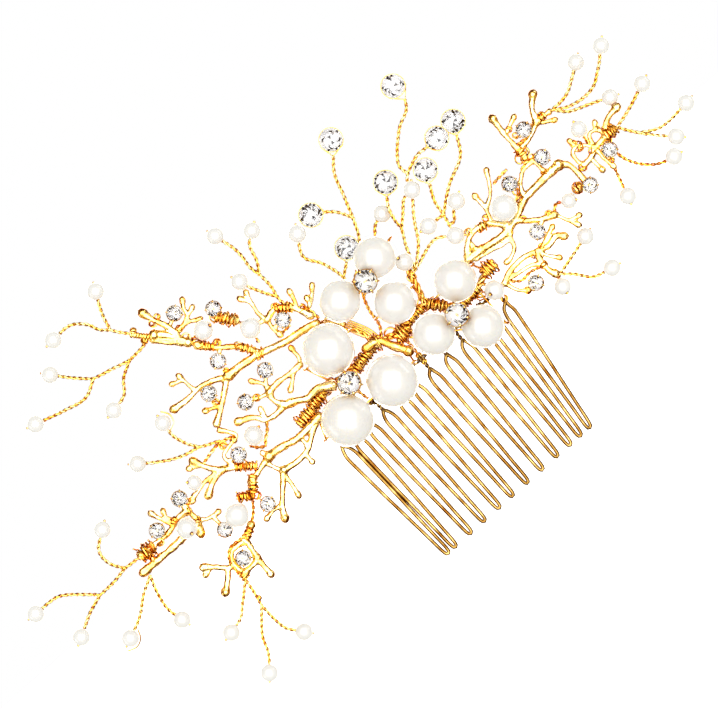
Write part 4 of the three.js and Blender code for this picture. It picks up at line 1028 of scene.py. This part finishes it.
            (BRANCH, (23.2, 2.6), (26, 3.8), (29.5, 4), (32, 3.3), (34.5, 2.5), (37, 2.9), (38.3, 1.7)),
            (TWIG, (33.2, 3), (35.5, 4), (37.8, 4.8)), (TWIG, (32.3, 3), (33.3, 1), (34.8, -0.8)),
            (TWIG, (24, 2.9), (26.5, 2.4), (29.5, 1.9), (31.5, 0.6)),
            (BRANCH, (31.8, 3), (31.5, 0.6), (31.5, -1.2), (32.1, -2.6)),
            (TWIG, (23.4, 2.6), (24.6, -0.3), (26.4, -1.6)),
        ],
        "wires": [
            [(24, 2.6), (26.2, 0.9), (28.5, 1), (30.9, 0.4)], [(23.4, 2.6), (22.3, 3), (20.9, 3, -3.8)],
        ],
        "knots": [(31.4, 3.1, 0.8), (33.5, 3.2, 0.7), (31.4, 0.4, 0.8), (25.8, -1.3, 0.7), (32, -2.7, 0.6)],
        "stones": [(27.9, -1.3)],
        "beads": [(2, (20.9, 3, -3.8))],
    },
}


def set_stones(name, places, metal):
    """Small stones in claw cups; the cups join the metal, and the stones are one glass piece."""
    stones = Shape()
    for spot in places:
        foot = place(spot)
        girdle = foot + GIRDLE_HEIGHT * FRONT
        brilliant(stones, girdle, STONE_RADIUS, STONE_CROWN, STONE_PAVILION, any_tilt(0.16))
        claw_cup(metal, girdle, STONE_RADIUS, CUP_DEPTH, 4)
        tube(metal, [girdle + 1.2 * BACK, foot], 0.5, 10)
    if places:
        make(f"{name}_stones", stones, GLASS_PARTS, "comb", "crystal")


def wired_beads(name, beads, wires, metal):
    """Small pearls at the ends of their wires, drilled along the wire, which shows at the far side."""
    pearls = Shape()
    for radius, spot in beads:
        centre = place(spot)
        near = min((smooth(every(wire), 0.5) for wire in wires), key=lambda r: (r[-1] - centre).length)
        axis = (near[-1] - near[-3]).normalized()
        drilled_bead(pearls, centre, radius, axis, BEAD_BORE)
        tube(metal, [centre, centre + axis * (radius + 0.1)], 0.24, 8)
    if beads:
        make(f"{name}_pearls", pearls, [SMALL_NACRE], "comb", "pearl", sharp=60)


def add_coral():
    for name, piece in CORAL.items():
        rough = Shape()
        for branch in piece["cast"]:
            cast_branch(rough, branch)
        metal = melted(rough)
        set_stones(name, piece["stones"], metal)
        craft = Shape()
        add_craft(craft, piece, core=True)
        wired_beads(name, piece.get("beads", []), piece.get("wires", []), craft)
        metal.add(craft.points, craft.faces, 1)
        make(f"{name}_metal", metal, [CAST_GOLD, WRAP_GOLD], "comb", "gold_plate", [name], sharp=50)


# ---- sprays and fans of twisted wire ----
SPRAYS = {
    "spray_top_left": {
        "wires": [
            [(-35.8, 41.3), (-37.5, 43.4), (-39.3, 45.6), (-40.2, 46.9)],
            [(-40.2, 46.9), (-39.7, 49, -2), (-39.1, 51, -1.4), (-37.4, 54.5, -1)],
            [(-40.2, 46.9), (-41.8, 48.4, -3), (-42.8, 50.6, -3.6), (-45.4, 52.7, -4.2), (-49.7, 52.7, -4.6)],
            [(-35.8, 41.3), (-37.2, 40.4), (-41.3, 40)],
            [(-41.3, 40), (-45, 41, -2), (-49, 42, -1.8)],
            [(-49, 42, -1.8), (-52, 44.9, -1), (-54.9, 48.3, -0.4)],
            [(-49, 42, -1.8), (-52.6, 40.2, -2.4), (-57, 41, -3), (-63.2, 42.8, -3.4)],
            [(-41.3, 40), (-44.4, 38.2, -3), (-46.7, 35.5, -3.8), (-50, 34.7, -4.4)],
        ],
        "wraps": [((-35.3, 40.7), (-37.9, 43.7), 0.45)],
        "knots": [(-36.5, 41, 0.7), (-37, 43.8, 0.6)],
    },
    "spray_top": {
        "wires": [
            [(-11.3, 27.4), (-11.6, 29.5), (-11.1, 33), (-11.3, 35.8)],
            [(-11.3, 35.8), (-11.7, 38, -1.8), (-11.5, 42, -1), (-12.8, 47.1, -0.6)],
            [(-11.3, 35.8), (-10, 37.8, -3), (-8.8, 41.4, -3.6), (-6.7, 43, -4)],
            [(-11.5, 30), (-13, 32.5, -3), (-14.2, 34.8, -3.4), (-15.1, 37.2, -3.6)],
        ],
    },
    "spray_left": {
        "wires": [
            [(-38.6, 16.6), (-40.9, 17.6), (-42.5, 18.4)],
            [(-42.5, 18.4), (-44, 21, -3), (-44.7, 23.3, -3.6), (-44.5, 26.5, -4.2)],
            [(-42.5, 18.4), (-46.5, 19.4, -2), (-50.5, 21.6, -1.4), (-53.6, 23.9, -1)],
        ],
        "curls": [[(-44.6, 24.4, -4), (-42.9, 25.1, -4.4), (-42.4, 26.9, -4.6), (-43.3, 28.4, -4.6)]],
    },
    "spray_far_left": {
        "wires": [
            [(-65.6, 10, -2), (-69, 10.3, -2)],
            [(-69, 10.3, -2), (-70.6, 13.2, -2.6), (-70.4, 16.2, -3.2), (-67.1, 18.8, -3.6)],
            [(-69, 10.3, -2), (-72.5, 9.7, -1.8), (-76, 9.6, -1.6)],
            [(-76, 9.6, -1.6), (-79, 12.3, -1), (-82.5, 14.8, -0.6), (-88, 15.2, -0.2)],
            [(-76, 9.6, -1.6), (-79.5, 8.4, -2.4), (-84.1, 5.9, -3.2)],
        ],
    },
    "spray_far_left_lower": {
        "wires": [
            [(-66.2, 5.9, -2), (-69.5, 4.1, -2.4), (-73, 1.3, -2.8), (-77.1, -0.6, -3.2)],
            [(-66.2, 5.9, -2), (-67.4, 2.6, -1.6), (-68, -1.2, -1.2), (-67.3, -4.6, -1)],
        ],
        "curls": [[(-74.9, -0.3, -2.9), (-75.6, -1.9, -3.2), (-77.1, -2.7, -3.4), (-79, -2.2, -3.4)]],
    },
    "spray_lower_left": {
        "wires": [
            [(-52.8, -7), (-56, -9.8, -2.8), (-58.6, -12, -3.4), (-61.6, -12.8, -3.8)],
            [(-52.8, -7), (-53.2, -10), (-53.8, -12.8, -2.2)],
            [(-53.8, -12.8, -2.2), (-57.6, -17.4, -2.8), (-58.9, -20.6, -3.2), (-61.3, -23.6, -3.6)],
            [(-53.8, -12.8, -2.2), (-53.7, -17, -1.6), (-53.2, -19.4, -1.2), (-51.1, -22.2, -0.8)],
        ],
        "knots": [(-53.2, -11.4, 0.45)],
    },
    "spray_upper_right": {
        "wires": [
            [(52.7, 21.8), (56.5, 22.1, -2), (59.5, 23.7, -1.4), (62.4, 25.7, -1)],
            [(52.7, 21.8), (56, 20, -3), (61, 19.7, -3.6), (64.5, 21.8, -4.2), (67.9, 24.8, -4.6)],
            [(52.7, 21.8), (55, 19.4, -1.9), (58.5, 18, -1.6), (62.8, 16.2, -1.4)],
        ],
    },
    "spray_far_right": {
        "wires": [
            [(59.9, 10.9), (63.7, 11.9, -2.6), (69.1, 14, -3.2)],
            [(59.9, 10.9), (61.2, 8.9), (62.5, 7.1)],
            [(62.5, 7.1), (66, 5.3, -2), (69, 5.1, -1.6), (73.2, 5.5, -1.2)],
            [(62.5, 7.1), (64.6, 4.6, -3), (67.2, 1.9, -3.6)],
        ],
    },
    "spray_lower_right": {
        "wires": [
            [(32.6, -3.1), (34.8, -5.1, -2.8), (37, -7.8, -3.4), (40.9, -8.9, -3.8)],
            [(32.6, -3.1), (36, -2.3, -1.8), (41.2, -0.9, -1.4)],
            [(32.6, -3.1), (31.6, -3.8), (31.3, -5.3, -3)],
        ],
    },
}
FANS = {
    "fan_wires_left": {
        "wires": [
            [(0.2, 21.6, -0.9), (0.6, 24.4, -1.6), (-0.6, 29, -2), (-2.6, 32.6, -2.4), (-0.5, 36.7, -2.6)],
            [(0.6, 24.4, -1.6), (3, 26.2, -1.8)],
            [(0.2, 21.6, -0.9), (4.5, 24.5, -1.2), (8, 28.2, -1.6), (9.7, 31.9, -2.3)],
            [(4.5, 24.5, -1.2), (7.5, 25.2, -1.4), (10.3, 26.2, -1.6), (12, 27.9, -1.4), (14.5, 28.7, -0.9)],
            [(9.7, 31.9, -2.3), (8.2, 34.6, -2.8), (6.3, 36.4, -3)],
            [(9.7, 31.9, -2.3), (11.4, 36.8, -2.2), (12.7, 40.7, -2), (14.8, 43.4, -2)],
        ],
        "beads": [(-0.5, 36.7, -2.6), (14.5, 28.7, -0.9)],
        "stones": {"crystal_1": (6.3, 36.4, -3), "crystal_2": (14.8, 43.4, -2), "crystal_3": (3, 26.2, -1.8)},
    },
    "fan_wires_right": {
        "wires": [
            [(12.2, 16.2, 0), (16.2, 20, -1.4), (18.2, 23.4, -2), (21.9, 28.3, -2.8)],
            [(13, 16.4, 0), (16, 17.6, -1.8), (19, 18.1, -2.6), (22.3, 16, -3.2)],
            [(12.2, 16.2, 0), (13.6, 20.4, -1), (15.4, 24, -1.8)],
            [(15.4, 24, -1.8), (15.5, 26.4, -3.2), (16.2, 28.8, -3.4), (17.3, 30.5, -3.2)],
            [(15.4, 24, -1.8), (17.5, 26, -2.2), (19.7, 28.1, -2.6), (21.9, 28.3, -2.8)],
            [(12.2, 16.2, 0), (11.4, 18.8, -2.4)],
            [(22.3, 16, -3.2), (23.3, 20.6, -2.4)],
            [(23.3, 20.6, -2.4), (23.8, 24, -2.8), (25.2, 26.8, -3.6)],
            [(23.3, 20.6, -2.4), (28, 24.2, -2.2), (33.4, 27, -2), (35.5, 30.4, -2)],
            [(23.3, 20.6, -2.4), (19.6, 20.9, -2.9)],
            [(22.9, 18.5, -2.8), (24, 18.2, -2.8), (25, 19.6, -3), (26.9, 20.9, -3.2)],
            [(21.9, 28.3, -2.8), (22.4, 30.2, -2.4), (23.6, 31.4, -2.2)],
            [(23.4, 31, -2.2), (23.2, 33.6, -2), (25.5, 36.6, -2), (28.5, 39.2, -2), (31.6, 40.8, -2),
             (32.6, 42.4, -2)],
            [(23.6, 31.4, -2.2), (27.2, 32.7, -2.2), (29.5, 32.6, -2.8)],
        ],
        "beads": [
            (21.9, 28.3, -2.8), (22.3, 16, -3.2), (11.4, 18.8, -2.4), (19.6, 20.9, -2.9), (26.9, 20.9, -3.2),
        ],
        "stones": {
            "crystal_4": (17.3, 30.5, -3.2), "crystal_5": (32.6, 42.4, -2), "crystal_6": (25.2, 26.8, -3.6),
            "crystal_7": (29.5, 32.6, -2.8), "crystal_8": (35.5, 30.4, -2),
        },
    },
}


LOOP_WIRE = 0.12


def wire_loop(shape, girdle, radius, foot):
    """The wire that holds a stone by its girdle, its two ends meeting where the stem begins."""
    hoop(shape, girdle, radius + 0.05, 0.08)
    stem = place(foot)
    away = (girdle - stem).normalized()
    across = away.cross(BACK).normalized()
    for side in (-1, 1):
        edge = girdle + radius * (-0.55 * away + 0.9 * side * across)
        tube(shape, smooth([edge, edge.lerp(stem, 0.6), stem], 0.3), LOOP_WIRE, 6)


def free_ends(wires):
    """The ends from which no other wire goes on."""
    starts = [wire[0] for wire in wires]
    return [wire[-1] for wire in wires if wire[-1] not in starts]


def add_sprays():
    """Sprays carry a pearl at each free end; on the fans some ends carry crystals in wire loops."""
    for name, piece in {**SPRAYS, **FANS}.items():
        wires = Shape()
        add_craft(wires, piece, core=False)
        for curl in piece.get("curls", []):
            single(wires, curl)
        size = FAN_PEARL if name in FANS else SPRAY_PEARL
        spots = piece.get("beads") or free_ends(piece["wires"])
        wired_beads(name, [(size, spot) for spot in spots], piece["wires"], wires)
        for stone, foot in piece.get("stones", {}).items():
            low, high = node_box(stone)
            girdle = girdle_of(low, high, 0.9)
            radius = (high.x - low.x) / 2
            glass = Shape()
            brilliant(glass, girdle, radius, CRYSTAL_CROWN, CRYSTAL_PAVILION, any_tilt(0.12))
            make(f"{stone}_glass", glass, GLASS_PARTS, "comb", "crystal", [stone])
            wire_loop(wires, girdle, radius, foot)
        make(f"{name}_twist", wires, [WIRE_GOLD], "comb", "gold_plate", [name], sharp=60)


MIDDLE_AXIS = Vector((0.8, 0.2, 0.5)).normalized()


def add_middle_beads():
    for name in ("pearl_mid_left", "pearl_mid_right"):
        low, high = node_box(name)
        shape = Shape()
        radius = (high.z - low.z) / 2
        drilled_bead(shape, (low + high) / 2, radius, MIDDLE_AXIS, MIDDLE_BORE)
        make(f"{name}_bead", shape, [SMALL_NACRE], "comb", "pearl", [name], sharp=60)


# ---- the studio ----
ROLL = math.radians(41.6)
FRAME_WIDTH = 140
SENSOR_WIDTH = 36
AIM = place((-7.7, 10.5))
DISTANCE = 800
CLIP = (0.05, 20)
# The right and the top of the picture, and how the camera and the bright wall are turned.
RIGHT = Vector((math.cos(ROLL), 0, -math.sin(ROLL)))
UP = Vector((math.sin(ROLL), 0, math.cos(ROLL)))
FACING = Matrix((RIGHT, UP, FRONT)).transposed()
PALE = (1.0, 0.98, 0.94)


def add_camera():
    data = bpy.data.cameras.new("camera")
    data.sensor_width = SENSOR_WIDTH
    data.lens = SENSOR_WIDTH * DISTANCE / FRAME_WIDTH
    data.clip_start, data.clip_end = CLIP
    camera = bpy.data.objects.new("camera", data)
    bpy.context.scene.collection.objects.link(camera)
    camera.matrix_world = Matrix.Translation((AIM + DISTANCE * FRONT) * MM) @ FACING.to_4x4()
    bpy.context.scene.camera = camera


def add_light(name, where, size, power):
    """A soft box turned towards the comb. It shows in what shines and leaves dull colour to the world."""
    data = bpy.data.lights.new(name, "AREA")
    data.shape = "RECTANGLE"
    data.size, data.size_y = size
    data.energy = power
    data.color = PALE
    light = bpy.data.objects.new(name, data)
    bpy.context.scene.collection.objects.link(light)
    light.location = Vector(where)
    light.rotation_euler = (-Vector(where)).to_track_quat("-Z", "Y").to_euler()
    light.visible_camera = False
    light.visible_diffuse = False
    return light


# What the gold reflects, by how far round from the front, at 0, to the back of the comb, at 1.
GOLD_SHADES = [
    (0.0, (0.12, 0.11, 0.1)), (0.06, (0.45, 0.38, 0.28)), (0.12, (0.8, 0.68, 0.48)),
    (0.22, (0.55, 0.38, 0.18)),
    (0.32, (0.2, 0.08, 0.015)), (0.44, (0.06, 0.014, 0.002)), (0.7, (0.06, 0.014, 0.002)),
    (0.8, (0.3, 0.17, 0.06)), (0.9, (0.8, 0.68, 0.48)), (1.0, (0.9, 0.87, 0.8)),
]
# The same for what is seen through the cut glass.
GLASS_SHADES = [
    (0.0, (1.0, 1.0, 1.0)), (0.12, (1.0, 1.0, 1.0)), (0.25, (0.5, 0.51, 0.53)), (0.5, (0.12, 0.12, 0.13)),
    (0.75, (0.05, 0.05, 0.06)), (0.9, (0.4, 0.4, 0.42)), (1.0, (0.95, 0.95, 0.97)),
]
STUDIO_STRENGTH = 1.6
# The same for the light on lacquer: white from in front, warmer and stronger from the sides.
LACQUER_SHADES = [
    (0.0, (0.98, 1.0, 1.0)), (0.1, (0.89, 0.91, 0.92)), (0.36, (0.89, 0.91, 0.92)), (0.48, (1.0, 1.0, 0.86)),
    (0.72, (1.0, 1.0, 0.86)), (0.84, (0.89, 0.91, 0.92)), (1.0, (0.89, 0.91, 0.92)),
]
LACQUER_STRENGTH = 1.12
SHEET_STRENGTH = 1.0


def background(nodes, links, colour, strength):
    """A world shader of one plain colour, or of the colour that a socket gives."""
    made = nodes.new("ShaderNodeBackground")
    settle(made, {"Strength": strength})
    if isinstance(colour, tuple):
        settle(made, {"Color": (*colour, 1)})
    else:
        links.new(colour, made.inputs["Color"])
    return made.outputs["Background"]


def add_world():
    """White to the camera, soft to the lacquer; the gold and the glass see bright and dim bands."""
    world = bpy.data.worlds.new("studio")
    world.use_nodes = True
    bpy.context.scene.world = world
    nodes = world.node_tree.nodes
    links = world.node_tree.links
    nodes.clear()
    where = nodes.new("ShaderNodeTexCoord")
    split = nodes.new("ShaderNodeSeparateXYZ")
    links.new(where.outputs["Generated"], split.inputs["Vector"])
    span = nodes.new("ShaderNodeMapRange")
    settle(span, {"From Min": -1, "From Max": 1})
    links.new(split.outputs["Y"], span.inputs["Value"])
    gold_light, glass_light, lacquer_light = (
        ramp(nodes, links, span.outputs["Result"], shades)
        for shades in (GOLD_SHADES, GLASS_SHADES, LACQUER_SHADES))
    path = nodes.new("ShaderNodeLightPath")
    seen = background(nodes, links, gold_light, STUDIO_STRENGTH)
    layers = [
        ("Is Transmission Ray", background(nodes, links, glass_light, STUDIO_STRENGTH)),
        ("Is Diffuse Ray", background(nodes, links, lacquer_light, LACQUER_STRENGTH)),
        ("Is Camera Ray", background(nodes, links, WHITE, SHEET_STRENGTH)),
    ]
    for ray, layer in layers:
        mix = nodes.new("ShaderNodeMixShader")
        links.new(path.outputs[ray], mix.inputs["Fac"])
        links.new(seen, mix.inputs[1])
        links.new(layer, mix.inputs[2])
        seen = mix.outputs["Shader"]
    out = nodes.new("ShaderNodeOutputWorld")
    links.new(seen, out.inputs["Surface"])


FLOOR_GAP = 0.3
FLOOR_REACH = 6  # metres


def add_floor():
    """A plain pale floor, just under the tips of the teeth."""
    low, _ = node_box("comb_tooth_01")
    height = (low.z - FLOOR_GAP) * MM
    mesh = bpy.data.meshes.new("floor")
    corners = [(-FLOOR_REACH, -FLOOR_REACH), (FLOOR_REACH, -FLOOR_REACH)]
    corners += [(FLOOR_REACH, FLOOR_REACH), (-FLOOR_REACH, FLOOR_REACH)]
    mesh.from_pydata([(*corner, height) for corner in corners], [], [(0, 1, 2, 3)])
    material, nodes, links, shader = new_material("pale_paper")
    shades = clouded(nodes, links, 30, 3, [(0.3, (0.93, 0.93, 0.93)), (0.7, (0.96, 0.96, 0.96))])
    links.new(shades, shader.inputs["Base Color"])
    settle(shader, {"Roughness": 0.9, "Specular IOR Level": 0.1})
    settle(shader, {"Emission Color": (*WHITE, 1), "Emission Strength": 1.0})
    mesh.materials.append(material)
    floor = bpy.data.objects.new("floor", mesh)
    bpy.context.scene.collection.objects.link(floor)
    for seen in ("visible_diffuse", "visible_glossy", "visible_transmission", "visible_shadow"):
        setattr(floor, seen, False)


# The bright wall behind the camera, in three sheets; the gap below the lens shows in the pearls.
# Each sheet has its place across and up and its size, in metres, and its power in watts.
WALL_DISTANCE = -0.95
WALL_SHEETS = [
    ("wall_above", (0, 0.41), (1.6, 0.78), 14.5), ("wall_left", (-0.415, -0.4), (0.77, 0.8), 7.3),
    ("wall_right", (0.415, -0.4), (0.77, 0.8), 7.3),
]
# A card on either side and a wall of light behind the comb, with their places and sizes in metres.
CARDS = [
    ("left_card", (-1.1, -0.1, 0.1), (0.3, 0.8), 2), ("right_card", (1.1, -0.1, 0.1), (0.3, 0.8), 2),
    ("back_wall", (0, 0.95, 0.1), (1.3, 1.3), 18),
]


def add_wall():
    for name, (across, above), size, power in WALL_SHEETS:
        where = across * RIGHT + above * UP + Vector((0, WALL_DISTANCE, 0.1))
        sheet = add_light(name, where, size, power)
        sheet.rotation_euler = FACING.to_euler()


bpy.context.scene.view_settings.view_transform = "Standard"
add_teeth()
add_spine()
add_pearls()
add_binding()
add_centre_stones()
add_coral()
add_sprays()
add_middle_beads()
add_camera()
add_world()
add_floor()
add_wall()
for card in CARDS:
    add_light(*card)
